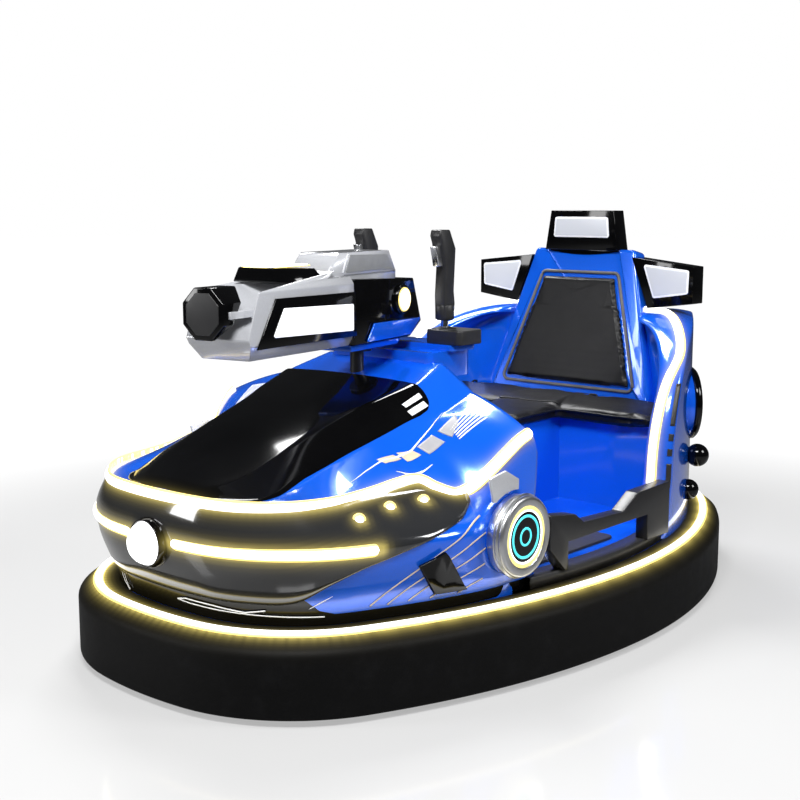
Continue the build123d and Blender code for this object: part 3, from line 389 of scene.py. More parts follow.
class Nodes:
    """A node tree whose sockets take values and links alike."""

    def __init__(self, tree):
        self.tree = tree

    def put(self, socket, value):
        if isinstance(value, Value):
            self.tree.links.new(value.socket, socket)
        elif isinstance(value, tuple) and len(value) == 3 and socket.type == "RGBA":
            socket.default_value = (*value, 1)
        else:
            socket.default_value = value

    def node(self, kind, settings, sockets, output=0):
        """Adds a node: its settings first, then the values or links of its sockets; gives one output."""
        made = self.tree.nodes.new(kind)
        for key, value in settings.items():
            setattr(made, key, value)
        for key, value in sockets.items():
            self.put(made.inputs[key], value)
        return Value(self, made.outputs[output])

    def mix(self, factor, first, second):
        """Colour between two colours."""
        return self.node("ShaderNodeMix", {"data_type": "RGBA"}, {0: factor, 6: first, 7: second}, 2)

    def place(self):
        return self.node("ShaderNodeTexCoord", {}, {}, "Object")

    def ray(self, kind):
        """1 for rays of a kind, such as Camera, and 0 for the others."""
        return self.node("ShaderNodeLightPath", {}, {}, f"Is {kind} Ray")


class Finish(Nodes):
    """A procedural material: one Principled shader and the nodes that feed it."""

    def __init__(self, name, **sockets):
        self.material = bpy.data.materials.new(name)
        self.material.use_nodes = True
        super().__init__(self.material.node_tree)
        self.shader = self.tree.nodes["Principled BSDF"]
        for socket, value in sockets.items():
            self.feed(socket.replace("_", " "), value)

    def feed(self, socket, value):
        """Sets the shader's socket to a value, or links it."""
        self.put(self.shader.inputs[socket], value)

    def cells(self, scale, output, **settings):
        """A cell pattern."""
        return self.node("ShaderNodeTexVoronoi", settings, {"Vector": self.place(), "Scale": scale}, output)

    def noise(self, scale, detail=3.0, rough=0.55, vector=None):
        return self.node("ShaderNodeTexNoise", {}, {"Vector": vector or self.place(), "Scale": scale,
                                                    "Detail": detail, "Roughness": rough})

    def bump(self, height, strength, distance):
        """Feeds the shader's normal with a relief."""
        relief = {"Height": height, "Strength": strength, "Distance": distance}
        self.feed("Normal", self.node("ShaderNodeBump", {}, relief))
        return self

    def glow(self, peak):
        """Light scattered from the strips close by: warm, strongest where the glow attribute nears 1."""
        near = self.node("ShaderNodeAttribute", {"attribute_name": "glow"}, {}, "Fac")
        self.feed("Emission Color", self.mix(near * peak, (0, 0, 0), WARM))
        self.feed("Emission Strength", 1.0)
        return self


def fibreglass(name, colour, flake=0.35, rough=0.16):
    """Gloss gel coat with fine metal flake: the flake lightens the colour cell by cell under a clear coat."""
    finish = Finish(name, Roughness=rough, Coat_Weight=1.0, Coat_Roughness=0.03)
    spark = finish.node("ShaderNodeSeparateXYZ", {}, {0: finish.cells(900.0, "Color")})
    cloud = finish.noise(5.0)
    light = tuple(min(1, 1.45 * c + 0.01) for c in colour)
    finish.feed("Base Color", finish.mix(spark * flake + cloud * 0.15, colour, light))
    finish.feed("Metallic", spark * 0.2 + 0.1)
    finish.bump(finish.noise(9.0), 0.03, 0.002)
    return finish.glow(0.6)


def gloss_black(name, rough=0.07):
    """Black gel coat with a slight orange peel."""
    finish = Finish(name, Roughness=rough, Specular_IOR_Level=0.32)
    finish.feed("Base Color", finish.mix(finish.noise(14.0), (0.001, 0.001, 0.0012), (0.003, 0.003, 0.0033)))
    finish.bump(finish.noise(260.0), 0.02, 0.0006)
    return finish.glow(0.5)


def satin_plastic(name, colour, rough=0.42, grain=900.0):
    """Moulded plastic: fine grain in relief and a little unevenness of sheen."""
    finish = Finish(name)
    light = tuple(1.35 * c + 0.004 for c in colour)
    finish.feed("Base Color", finish.mix(finish.noise(40.0), colour, light))
    finish.feed("Roughness", finish.noise(70.0) * 0.12 + (rough - 0.06))
    finish.bump(finish.noise(grain, 2.0), 0.18, 0.0004)
    return finish.glow(0.45)


def metal(name, colour, rough, brushed=(1.0, 14.0, 14.0)):
    """Brushed metal: noise stretched along the brushing varies roughness and relief."""
    finish = Finish(name, Metallic=1.0)
    stretch = finish.node("ShaderNodeMapping", {}, {"Vector": finish.place(), "Scale": brushed})
    line = finish.noise(60.0, 4.0, 0.6, stretch)
    finish.feed("Base Color", finish.mix(line, tuple(0.85 * c for c in colour), colour))
    finish.feed("Roughness", line * 0.18 + (rough - 0.09))
    return finish.bump(line, 0.04, 0.0004)


def diffuser(name, colour, strength, edge=None):
    """A lit diffuser: even light, a little warmer where a soft noise dips."""
    finish = Finish(name, Base_Color=colour, Roughness=0.35, Emission_Strength=strength)
    finish.feed("Emission Color", finish.mix(finish.noise(30.0) * 0.15, colour, edge or colour))
    return finish


def rubber(name):
    """Matt black rubber: pebbled relief, greyer where a noise marks it scuffed."""
    finish = Finish(name, Specular_IOR_Level=0.14)
    pebble = finish.cells(420.0, "Distance")
    scuff = finish.noise(22.0, 6.0, 0.65)
    finish.feed("Base Color", finish.mix(scuff.smooth(0.45, 0.8), (0.002, 0.002, 0.0022), (0.005, 0.005, 0.0055)))
    finish.feed("Roughness", scuff * 0.2 + 0.5)
    finish.bump(pebble + scuff * 0.4, 0.22, 0.0006)
    return finish.glow(0.95)


def vinyl(name, colour=(0.0025, 0.0025, 0.003)):
    """Upholstery vinyl: fine leather grain from two cell patterns, satin sheen."""
    finish = Finish(name, Specular_IOR_Level=0.28)
    cell = finish.cells(330.0, "Distance", feature="DISTANCE_TO_EDGE")
    finish.feed("Base Color", finish.mix(finish.noise(25.0), colour, tuple(2.4 * c for c in colour)))
    finish.feed("Roughness", finish.noise(18.0) * 0.15 + 0.34)
    finish.bump(cell.smooth(0.0, 0.12) + finish.noise(120.0) * 0.4, 0.1, 0.0006)
    return finish.glow(0.4)


BLUE = (0.002, 0.112, 0.8)
blue = fibreglass("blue_gel_coat", BLUE)
grey_band = fibreglass("grey_flake_gel_coat", (0.022, 0.023, 0.025), flake=0.5, rough=0.12)
gun_silver = fibreglass("silver_grey_paint", (0.5, 0.51, 0.54), flake=0.3, rough=0.22)
black = gloss_black("black_gel_coat")
satin = satin_plastic("black_satin_plastic", (0.012, 0.012, 0.013))
rail_grey = satin_plastic("dark_grey_plastic", (0.012, 0.012, 0.013), 0.32)
case_plastic = satin_plastic("battery_case_plastic", (0.045, 0.045, 0.048), 0.5)
ring_rubber = rubber("pebbled_ring_rubber")
tread_rubber = rubber("tyre_rubber")
castor_tread = satin_plastic("castor_polyurethane", (0.09, 0.09, 0.1), 0.4)
silver = metal("brushed_silver", (0.72, 0.73, 0.75), 0.24)
silver_turned = metal("turned_silver", (0.66, 0.67, 0.69), 0.33, (40.0, 1.0, 1.0))
plate_grey = satin_plastic("crest_plate_grey", (0.24, 0.245, 0.25), 0.35)
zinc = metal("zinc_plate", (0.55, 0.56, 0.58), 0.32)
enamel = satin_plastic("grey_motor_enamel", (0.12, 0.12, 0.125), 0.35)
powder = satin_plastic("black_powder_coat", (0.022, 0.022, 0.024), 0.45, 600.0)
chrome = metal("polished_stem", (0.8, 0.81, 0.83), 0.12, (20, 20, 1))
strip = diffuser("warm_light_strip", (1.0, 0.985, 0.93), 1.6, (1.0, 0.95, 0.78))
strip_edge = diffuser("yellow_strip_edge", (1.0, 0.78, 0.22), 1.0)
lamp_white = diffuser("white_lamp_lens", (1.0, 1.0, 1.0), 2.4)
window_white = diffuser("white_window", (0.58, 0.6, 0.64), 0.2)
panel_white = diffuser("white_side_panel", (0.95, 0.96, 0.98), 0.55)
cyan = diffuser("cyan_ring_light", (0.08, 0.72, 0.8), 0.7)
seat_vinyl = vinyl("black_seat_vinyl")
piping_grey = vinyl("grey_piping", (0.085, 0.082, 0.08))
tan = satin_plastic("tan_stripe", (0.6, 0.5, 0.36), 0.3)
grey_stripe = satin_plastic("grey_stripe", (0.34, 0.34, 0.36), 0.3)
# White for printed slots, hatch and borders, and also for painted highlights: the lines on the hood, the side panels'
# streak and the crest's edge.
white_print_and_highlight = satin_plastic("white_print_and_painted_highlight", (0.85, 0.86, 0.88), 0.3)
hub_black = gloss_black("hub_face_black", 0.2)
for slot, finishes in {
    "blue_body": (blue,), "grey_flake": (grey_band,), "black_gloss": (black,
                                                                      hub_black), "black_satin": (satin, powder),
    "rail_grey": (rail_grey,), "ring_rubber": (ring_rubber,), "silver_metal": (silver, silver_turned),
    "silver_paint": (gun_silver, plate_grey, tan, grey_stripe,
                     white_print_and_highlight), "light_strip": (strip, strip_edge, cyan),
    "lamp_lens": (lamp_white,), "window_white": (window_white,
                                                 panel_white), "black_vinyl": (seat_vinyl, piping_grey),
}.items():
    for finish in finishes:
        finish.slot = slot

# ---- Nose wall: one surface of oval direction and height ----
nose_inset = curve_through(NOSE_LEVELS)
seam_height = curve_through(SEAM)
band_height = curve_through(BAND_EDGE)
cheek_lean = curve_through(LEAN)


def nose_wall(direction, height, grow=0.0):
    """Point on the nose wall: the oval's half moved in by the height's inset, its |x| held to the body's side.

    Above LEAN_FROM it leans in by cheek_lean(y), times the smooth step 3t^2 - 2t^3 of the height over LEAN_OVER.
    """
    inset = nose_inset(height) - grow
    index = direction * (len(FRONT_HALF[1]) - 1)
    low = np.clip(np.floor(index).astype(int), 0, len(FRONT_HALF[1]) - 2)
    part = index - low
    centre, reach, normal = (np.take(item, low, 0) for item in FRONT_HALF)
    centre_next, reach_next, normal_next = (np.take(item, low + 1, 0) for item in FRONT_HALF)
    here = centre + normal * (reach - inset)[..., None]
    ahead = centre_next + normal_next * (reach_next - inset)[..., None]
    plan = here + (ahead - here) * part[..., None]
    x = np.sign(plan[..., 0]) * lesser(np.abs(plan[..., 0]), BODY_HALF + grow, 0.012)
    t = np.clip((height - LEAN_FROM) / LEAN_OVER, 0, 1)
    lean = cheek_lean(plan[..., 1]) * (3 * t**2 - 2 * t**3)
    return np.stack([x - normal[..., 0] * lean, plan[..., 1] - normal[..., 1] * lean, height + 0 * x], -1)


def direction_at(y, sign=1):
    """Direction round the nose, 0 at +X and 1 at -X, at which the wall passes a distance ahead."""
    samples = np.linspace(0, 0.5, 400)
    ys = nose_wall(samples, PROUDEST)[:, 1]
    found = np.interp(-np.asarray(y, float), -ys, samples)
    return found if sign > 0 else 1 - found


def nose_patch(name, start, stop, low, high, finish, columns=120, rows=24, grow=0.0, wall=0.005):
    """Part of the nose wall between two directions and two heights, which are functions of y."""
    s = np.linspace(start, stop, columns)
    y = nose_wall(s, LEAN_FROM)[:, 1]
    share = (1 - np.cos(np.linspace(0, math.pi, rows)))[:, None] / 2
    height = low(y) + (high(y) - low(y)) * share
    grid = nose_wall(np.broadcast_to(s, height.shape), height, grow)
    return skin(name, grid, finish, wall=wall)


def crowned(grid, height):
    """A grid pushed out along its own normals by height * (1 - (2s - 1)^4), s running along its rows."""
    over = np.gradient(grid, axis=0)
    along = np.gradient(grid, axis=1)
    normal = unit(np.cross(along, over))
    out = np.sign((normal[..., :2] * unit(grid[..., :2])).sum(-1, keepdims=True))
    s = np.linspace(-1, 1, len(grid))[:, None, None]
    return grid + normal * out * height * (1 - s**4)


s = np.linspace(direction_at(BAND_REAR), direction_at(BAND_REAR, -1), 260)
y = nose_wall(s, LEAN_FROM)[:, 1]
share = (1 - np.cos(np.linspace(0, math.pi, 30)))[:, None] / 2
height = band_height(y) + (seam_height(y) - band_height(y)) * share
grid = crowned(nose_wall(np.broadcast_to(s, height.shape), height), 0.006)
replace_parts(skin("nose_band_moulding", grid, grey_band, wall=0.006), "nose_band")

floor_line = lambda y: np.full(np.shape(y), RING_TOP)
sill_top = lambda y: np.where(y < -0.79, band_height(y) + 0.004, np.interp(y, (-0.79, -0.77), (0.214, 0.201)))
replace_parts(nose_patch("nose_skirt_moulding", direction_at(-0.255), direction_at(-0.255, -1), floor_line, sill_top,
                       black, columns=260, rows=12, grow=-0.003), "nose_skirt")


TIP_Y, TIP_Z = -0.788, 0.209  # distance ahead and height of the side panels' lower front corner


def panel_top(y):
    """Top of the side panel: the grey band's lower edge, and behind the band the hood's seam."""
    end = np.clip((y + 0.292) / 0.03, 0, 1) ** 2 * 0.06
    return np.where(y > BAND_REAR, seam_height(y) - end, np.minimum(band_height(y), seam_height(y)))


def panel_low(y):
    """Lower edge of the side panel: along the black sill, and rising to the band's edge at its front tip."""
    return np.where(y < TIP_Y, TIP_Z - (y - TIP_Y), np.interp(y, (TIP_Y, -0.76), (TIP_Z, 0.2)))


for side, sign in SIDES:
    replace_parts(nose_patch(f"side_panel_{side}_moulding", direction_at(-0.262, sign), direction_at(-0.812, sign),
                           panel_low, panel_top, blue, columns=140, rows=22, grow=-0.001, wall=0.004),
                f"side_panel_{side}")


# ---- Hood: sections from seam to seam over the crown ----
HOOD = ((-0.9, 0.06, 0.424, 0.09, 0.421), (-0.812, 0.14, 0.449, 0.2, 0.42), (-0.63, 0.165, 0.517, 0.236, 0.474),
        (-0.525, 0.18, 0.552, 0.252, 0.504), (-0.335, 0.205, 0.605, 0.288, 0.553),
        (-0.222, 0.18, 0.64, 0.292, 0.592))
crown_x, crown_z, edge_x, edge_z = (curve_through([(row[0], row[k]) for row in HOOD]) for k in range(1, 5))


def seam_x(y):
    """Half-width of the hood's seam: the nose wall's at the seam's height."""
    samples = np.linspace(0, 0.5, 400)
    wall_y = nose_wall(samples, PROUDEST)[:, 1]
    points = nose_wall(samples, seam_height(wall_y))
    return np.interp(-np.asarray(y, float), np.maximum.accumulate(-points[:, 1]), points[:, 0])


HOOD_FRONT = float(nose_wall(np.array([0.5]), np.array([0.415]))[0, 1])


def hood_height(x, y):
    """Height of the hood's skin: straight across the crown, then a slope, then a fuller flank down to the seam."""
    across = np.abs(x)
    x1, z1, x2, z2 = crown_x(y), crown_z(y), edge_x(y), edge_z(y)
    x3, z3 = np.maximum(seam_x(y), 1e-4), seam_height(y)
    near = np.clip((y - HOOD_FRONT) / 0.05, 0, 1)
    x1, x2 = np.minimum(x1, 0.45 * x3), np.minimum(x2, 0.7 * x3)
    rise = 0.006 * (1 - np.clip(across / x1, 0, 1) ** 2)
    slope = z1 + (z2 - z1) * (across - x1) / (x2 - x1)
    t = np.clip((across - x2) / np.maximum(x3 - x2, 1e-4), 0, 1)
    flank = z2 + (z3 - z2) * t + 0.018 * np.clip((y + 0.9) / 0.5, 0, 1) * t * (1 - t)
    top = np.where(across < x1, z1 + rise, np.where(across < x2, slope, flank))
    return z3 + (top - z3) * near**0.5


def on_hood(x, y, lift=0.0):
    """Point over the hood's skin."""
    return np.stack([x, y, hood_height(x, y) + lift], -1)


u = np.linspace(-1, 1, 181)
v = np.linspace(0, 1, 130)[:, None] ** 1.5
rear_y = PANEL_REAR - 0.062 * np.clip((np.abs(u) - 0.4) / 0.6, 0, 1)
y = HOOD_FRONT + 1e-3 + (rear_y - HOOD_FRONT - 1e-3) * v
grid = on_hood(u * seam_x(y), y)
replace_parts(skin("hood_moulding", grid, blue, wall=0.006), "hood_shell")

# ---- Windshield: gloss black, creased along the crown's edge ----
SHIELD_FRONT, SHIELD_REAR = -0.89, -0.337
shield_half = curve_through(((-0.9, 0.03), (-0.885, 0.085), (-0.862, 0.15), (-0.835, 0.192), (-0.8, 0.212),
                             (-0.7, 0.226), (-0.6, 0.236), (-0.5, 0.249), (-0.42, 0.259), (-0.385, 0.264),
                             (-0.36, 0.26), (-0.345, 0.244), (-0.337, 0.222)))
y = np.concatenate([np.linspace(SHIELD_FRONT, -0.8, 30), np.linspace(-0.797, -0.42, 60),
                    np.linspace(-0.417, SHIELD_REAR, 24)])[:, None]
half = np.minimum(shield_half(y), seam_x(y) - 0.012)
crease = np.minimum(np.minimum(crown_x(y), 0.45 * seam_x(y)), half * 0.94)
inner = np.linspace(-1, 1, 40)[1:-1]
outer = np.linspace(0.02, 1, 22)
x = np.concatenate([-(crease + (half - crease) * outer[::-1]), crease * inner, crease + (half - crease) * outer], 1)
border = np.minimum(1 - np.abs(x) / half, 0.02) / 0.02
end = np.clip(np.minimum(y - SHIELD_FRONT, SHIELD_REAR - y) / 0.008, 0, 1)
lift = 0.0035 * np.sqrt(np.clip(border, 0, 1)) * np.sqrt(end) + 0.0006
grid = on_hood(x, y + 0 * x, lift)
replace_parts(skin("windshield_moulding", grid, black), "windshield")

# ---- Light strips of the nose ----
s = np.linspace(direction_at(-0.283), direction_at(-0.283, -1), 420)
y = nose_wall(s, PROUDEST)[:, 1]
path = nose_wall(s, seam_height(y), 0.001)
outward = unit(path * (1, 1, 0) - np.stack([path[:, 0] * 0.2, path[:, 1] * 0.2 - 0.05, path[:, 2] * 0], 1))
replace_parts(light_strip("hood_light_strip", even(path, 420), outward, strip, 0.021, 0.009), "hood_light")

strips = []
for side, sign in SIDES:
    s = np.linspace(direction_at(-0.683, sign), 0.5, 200)
    path = nose_wall(s, 0.333, 0.005)
    keep = np.abs(path[:, 0]) > 0.066
    path = even(path[keep], 120)
    outward = np.stack([path[:, 0] * 0.9, path[:, 1] + 0.25, path[:, 2] * 0], 1)
    strips.append(light_strip(f"face_light_{side}", path, outward, strip, 0.019, 0.0075))
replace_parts(strips[0], "face_lights")

ring_path = oval_at(whole_oval(), 0.0455, RING_TOP - 0.0015)
upward = np.tile((0, 0, 1.0), (len(ring_path), 1))
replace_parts(light_strip("ring_light_strip", ring_path, upward, strip, 0.018, 0.009, closed=True), "ring_light")

# ---- Rubber ring: a rounded section carried round the oval ----
section = rounded(((0.0, RING_BASE + 0.004), (0.0, RING_TOP - 0.026), (0.033, RING_TOP - 0.003), (0.036, RING_TOP),
                   (0.095, RING_TOP), (0.095, RING_BASE), (0.016, RING_BASE)),
                  (0.012, 0.022, 0.004, 0.003, 0.004, 0.006, 0.014), 8)
grid = np.stack([oval_at(whole_oval(), inset, z) for inset, z in filled(section, 0.009)], 1)
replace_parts(skin("bumper_ring_moulding", grid, ring_rubber, wrap_rows=True, wrap_columns=True), "bumper_ring")

# ---- Rear body: arches carried back along the car, cut by the oval and the tail ----
ARM_CENTRE, ARM_RADIUS = (0.68, 0.33), 0.388  # side view of the arms' front edge
ARM_FOOT = 0.262
OUTER_ARCH = (0.5, 0.716, 0.245)  # half-width, top and corner radius
INNER_ARCH = (0.408, 0.686, 0.19)
TAIL = ((0.73, 0.714), (0.868, 0.56), (0.905, 0.176))
RECESS_Y = 0.6
BACK_FOOT = (0.553, 0.485)  # distance and height of the seat back's front plane at its foot
BACK_LEAN = math.radians(11.5)
BACK_HALF, BACK_HEIGHT = (0.272, 0.167), 0.393
NOSE_DEPTH = 0.026
ARM_LIGHT_X = 0.45
RISE, TURN = 0.24, 0.42  # shares of an arch's run at which its corner begins and ends


def arm_front(z):
    """Distance ahead of the arms' front edge: a circle about ARM_CENTRE, and below it a line to the foot."""
    up = np.clip(z - ARM_CENTRE[1], 0, ARM_RADIUS * 0.995)
    down = np.clip(ARM_CENTRE[1] - z, 0, None) / (ARM_CENTRE[1] - RING_TOP)
    foot = ARM_CENTRE[0] - ARM_RADIUS
    return ARM_CENTRE[0] - np.sqrt(ARM_RADIUS**2 - up**2) + (ARM_FOOT - foot) * down


def arch(t, half, top, radius):
    """Front view of an arch: up the left side, round its corner, across and down again as t goes from 0 to 1."""
    t = np.asarray(t, float)
    near = np.minimum(t, 1 - t)
    shoulder = top - radius
    turn = np.clip((near - RISE) / 0.18, 0, 1) * math.pi / 2
    across = np.clip((near - TURN) / 0.08, 0, 1)
    x = half - radius + radius * np.cos(turn) - across * (half - radius)
    z = RING_TOP + (shoulder - RING_TOP) * np.clip(near / RISE, 0, 1) + radius * np.sin(turn)
    return np.sign(0.5 - t) * x, z


def oval_width(y, inset):
    """Half-width of the rear half of the oval at a distance ahead."""
    outline = oval_points(REAR_HALF, inset)[: len(REAR_HALF[1]) // 2 + 1]
    return np.interp(y, outline[:, 1], outline[:, 0])


def tail_height(y):
    """Height of the tail over a distance ahead."""
    (y1, z1), (y2, z2), (y3, z3) = TAIL
    return np.minimum(z1 + (z2 - z1) / (y2 - y1) * (y - y1), z2 + (z3 - z2) / (y3 - y2) * (y - y2))


def outer_point(t, back):
    """Outer skin: the arch at share back (0 to 1) of the way from the arms' front to the end of the oval."""
    x, z = arch(t, *OUTER_ARCH)
    start = arm_front(z) + NOSE_DEPTH
    y = start + (HALF_LENGTH - REAR_INSET - start) * np.sin(back * math.pi / 2)
    wide = np.sign(x) * lesser(np.abs(x), oval_width(y, REAR_INSET), 0.01 * (1 - back))
    lean = np.clip((z - 0.3) / 0.4, 0, 1)
    high = np.maximum(lesser(z, tail_height(y), 0.016), RING_TOP)
    return np.stack([wide * (1 - 0.02 * lean * back), y, high], -1)


def inner_point(t, back):
    """Wall of the seat's bowl, from the rim's inner edge (back = 0) to the car's middle plane (back = 1).

    Superellipse from edge to middle: x falls as cos^p, the distance from the edge grows as sin^p.
    """
    x, z = arch(t, *INNER_ARCH)
    phi = back * math.pi / 2
    near, far = np.cos(phi) ** 0.5, np.sin(phi) ** 0.5
    start = np.minimum(arm_front(z) + NOSE_DEPTH, RECESS_Y - 0.002)
    shoulder = INNER_ARCH[1] - INNER_ARCH[2]
    middle = np.minimum(z, shoulder) + 0.6 * np.maximum(z - shoulder, 0)
    y = start + (RECESS_Y - start) * far
    wide = np.sign(x) * lesser(np.abs(x), oval_width(y, 0.126), 0.012)
    return np.stack([wide * near, y, middle + (z - middle) * near], -1)


def behind_back(point):
    """Pushes what would stand before the seat back to behind its front plane, and beside it along a 3 : 1 slope."""
    x, y, z = np.moveaxis(np.asarray(point, float), -1, 0)
    up = z - BACK_FOOT[1]
    half = BACK_HALF[0] - (BACK_HALF[0] - BACK_HALF[1]) * np.clip(up / BACK_HEIGHT, 0, 1)
    hold = BACK_FOOT[0] + up * math.tan(BACK_LEAN) + 0.028 - 3.0 * np.maximum(np.abs(x) - half + 0.01, 0)
    return np.stack([x, -lesser(-y, -hold, 0.03), z], -1)


def rim_point(t, turn):
    """Bullnose between the skins' front edges: turn goes from 0 at the recess to pi at the outside."""
    inner, outer = inner_point(t, 0 * turn), outer_point(t, 0 * turn)
    share = (1 - np.cos(turn)) / 2
    point = inner + (outer - inner) * share[..., None]
    y = arm_front(point[..., 2]) + NOSE_DEPTH * (1 - np.sin(turn))
    return np.stack([point[..., 0], y, point[..., 2]], -1)


t = np.concatenate([np.linspace(0, RISE, 40)[:-1], np.linspace(RISE, TURN, 42)[:-1], np.linspace(TURN, 0.5, 20)])
t = np.concatenate([t, (1 - t)[:-1][::-1]])[:, None]
rim = rim_point(*np.broadcast_arrays(t, np.linspace(0, math.pi, 17)))
bowl = inner_point(*np.broadcast_arrays(t, np.linspace(1, 0, 40)))[:, :-1]
outside = outer_point(*np.broadcast_arrays(t, np.linspace(0, 1, 70)))[:, 1:]
rear_grid = behind_back(np.concatenate([bowl, rim, outside], 1))
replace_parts(skin("rear_moulding", rear_grid, blue), "rear_body")

arm_path = []
for t_now in np.linspace(0.095, 0.455, 120):
    inner_x, outer_x = arch(t_now, *INNER_ARCH)[0], arch(t_now, *OUTER_ARCH)[0]
    share = lesser((ARM_LIGHT_X - inner_x) / (outer_x - inner_x), 0.9, 0.15)
    arm_path.append(rim_point(np.array(t_now), np.arccos(1 - 2 * share)))
arm_path = even(behind_back(arm_path), 110)
for side, sign in SIDES:
    path = arm_path * (sign, 1, 1)
    outward = np.stack([0 * path[:, 0], path[:, 1] - 0.72, (path[:, 2] - 0.33) * 0.9], 1)
    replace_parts(light_strip(f"arm_light_{side}", path, outward, strip, 0.021, 0.01), "arm_lights")

# Black vents beside the arm lights: two slots and two squares, cut round the rim's outer side
for side, sign in SIDES:
    for k, (t_low, t_high) in enumerate(((0.1, 0.15), (0.166, 0.18), (0.196, 0.21), (0.226, 0.28))):
        t_cell = np.linspace(t_low, t_high, 14)[:, None] + np.zeros(6)
        turn = math.pi * np.linspace(0.8, 0.97, 6)[None, :] + 0 * t_cell
        grid = behind_back(rim_point(t_cell, turn))
        grid = grid + unit(np.stack([0 * turn + 0.8, -0.6 + 0 * turn, 0 * turn], -1)) * 0.0015
        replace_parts(skin(f"vent_{side}_{k + 1}", grid * (sign, 1, 1), satin, wall=0.001), "arm_vents")

# ---- Seat back: a leaning slab with a raised rim, its pad and the cushion ----
def on_back(across, up, ahead):
    """Point of the leaning seat back: across, up its plane from the foot and ahead of that plane."""
    across, up, ahead = (np.asarray(item, float) for item in (across, up, ahead))
    y = BACK_FOOT[0] + up * math.sin(BACK_LEAN) - ahead * math.cos(BACK_LEAN)
    z = BACK_FOOT[1] + up * math.cos(BACK_LEAN) + ahead * math.sin(BACK_LEAN)
    return np.stack([across + 0 * y, y, z], -1)


def back_outline(shift=0.0):
    """Outline of the seat back with a sagging top edge between two raised corners."""
    top = [(x, 0.401 - 0.016 * (1 - (x / 0.12) ** 2)) for x in np.linspace(0.12, -0.12, 13)]
    corners = [(-0.272, -0.046), (0.272, -0.046), (0.272, 0.005), (0.167, 0.401), *top, (-0.167, 0.401),
               (-0.272, 0.005)]
    radii = [0.004, 0.004, 0.01, 0.014] + [0.002] * len(top) + [0.014, 0.01]
    return shrunk(rounded(corners, radii, 5), shift)


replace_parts(block("seat_back_moulding", back_outline(), lambda x, y, h: on_back(x, y, h - 0.062), 0.062, blue, 0.01,
                  steps=6), "seat_back")

PAD = ((-0.223, 0.006), (0.223, 0.006), (0.126, 0.33), (-0.126, 0.33))
pad_outline = rounded(PAD, 0.014, 6)
piping_path = on_back(*shrunk(pad_outline, -0.002).T, 0.003)
tube("back_pad_piping", piping_path, 0.0045, piping_grey, closed=True, rounds=10)


# ---- Parts that keep the solid's form, with their edges softened ----
def softened(node, finish, width, body="car", segments=3):
    """A copy of a solid's mesh with its flats merged and its edges rounded; it stands for the solid."""
    work = bmesh.new()
    work.from_mesh(nodes[node].data)
    bmesh.ops.remove_doubles(work, verts=work.verts, dist=1e-5)
    bmesh.ops.dissolve_limit(work, angle_limit=math.radians(1.0), verts=work.verts, edges=work.edges)
    edges = [edge for edge in work.edges if len(edge.link_faces) == 2 and edge.calc_face_angle() > math.radians(24)]
    bmesh.ops.bevel(work, geom=edges, offset=width, offset_type="WIDTH", segments=segments, profile=0.5,
                    affect="EDGES", clamp_overlap=True)
    mesh = bpy.data.meshes.new(f"{node}_softened")
    work.to_mesh(mesh)
    work.free()
    made = bpy.data.objects.new(f"{node}_softened.001", mesh)
    bpy.context.scene.collection.objects.link(made)
    mesh.shade_smooth()
    mesh.set_sharp_from_angle(angle=math.radians(38))
    mesh.materials.append(finish.material)
    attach(made, body)
    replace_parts(made, node)
    return made


gun_parts = {node: softened(node, finish, width, "cannon") for node, finish, width in (
    ("gun_body", gun_silver, 0.004), ("gun_muzzle", black, 0.004), ("gun_rear", black, 0.004),
    ("gun_belly", blue, 0.003), ("gun_panels", black, 0.0015), ("gun_top_lamp", black, 0.004))}
for node, finish, width, segments in (
    ("lamp_boxes", black, 0.004, 3), ("console_plates", satin, 0.004, 3), ("joystick_grips", satin, 0.005, 3),
    ("pedestal", blue, 0.01, 5), ("side_rail_left", rail_grey, 0.003, 3), ("side_rail_right", rail_grey, 0.003, 3),
    ("step_pads", black, 0.0015, 3), ("tub", blue, 0.006, 4),
):
    softened(node, finish, width, segments=segments)

triggers = softened("joystick_triggers", silver, 0.002)
points = read_points(triggers)
for hand in (points[:, 0] > 0, points[:, 0] < 0):
    middle = points[hand].mean(0)
    points[hand] = middle + (points[hand] - middle) * (1.35, 1.6, 1.15)
write_points(triggers, points)
TAB_Z = 0.425
tabs = softened("hub_tabs", gun_silver, 0.003, segments=4)
for vertex in tabs.data.vertices:
    vertex.co.z = TAB_Z + (vertex.co.z - TAB_Z) * 0.72


for side, sign in SIDES:
    rows = []
    for inset, z in ((0.0965, 0.174), (0.0965, 0.2004), (0.0985, 0.2018), (0.14, 0.2018)):
        ahead, behind = (oval_points(half, inset) for half in (FRONT_HALF, REAR_HALF))
        run = np.concatenate([ahead[(ahead[:, 0] > 0) & (ahead[:, 1] > -0.3)][::-1],
                              behind[(behind[:, 0] > 0) & (behind[:, 1] < 0.29) & (behind[:, 1] > 0)]])
        run = even(np.column_stack([run, np.full(len(run), z)]), 70)
        rows.append(run * (sign, 1, 1))
    skin(f"sill_{side}", np.array(rows), satin, wall=0.001)
# Painted shade: a thin dark sheet over the tub's floor stands in for the shade that falls in the footwell.
shade_sheet = rounded(((-0.44, -0.262), (0.44, -0.262), (0.44, 0.13), (-0.44, 0.13)), 0.02, 6)
block("floor_painted_shade", shade_sheet, lambda x, y, h: np.stack([x, y, FLOOR_TOP - 0.002 + h], -1), 0.0085, powder, 0.002)


# ---- Graphics and small lamps that lie on the curved walls ----
def wall_point(y, z, sign=1, grow=0.0):
    """Point of the nose wall at a distance ahead and a height: the direction's y is shifted by what it missed."""
    y, z = np.broadcast_arrays(np.asarray(y, float), np.asarray(z, float))
    aim = y
    for _ in range(4):
        aim = aim + y - nose_wall(direction_at(aim), z)[..., 1]
    return nose_wall(direction_at(aim), z, grow) * (sign, 1, 1)


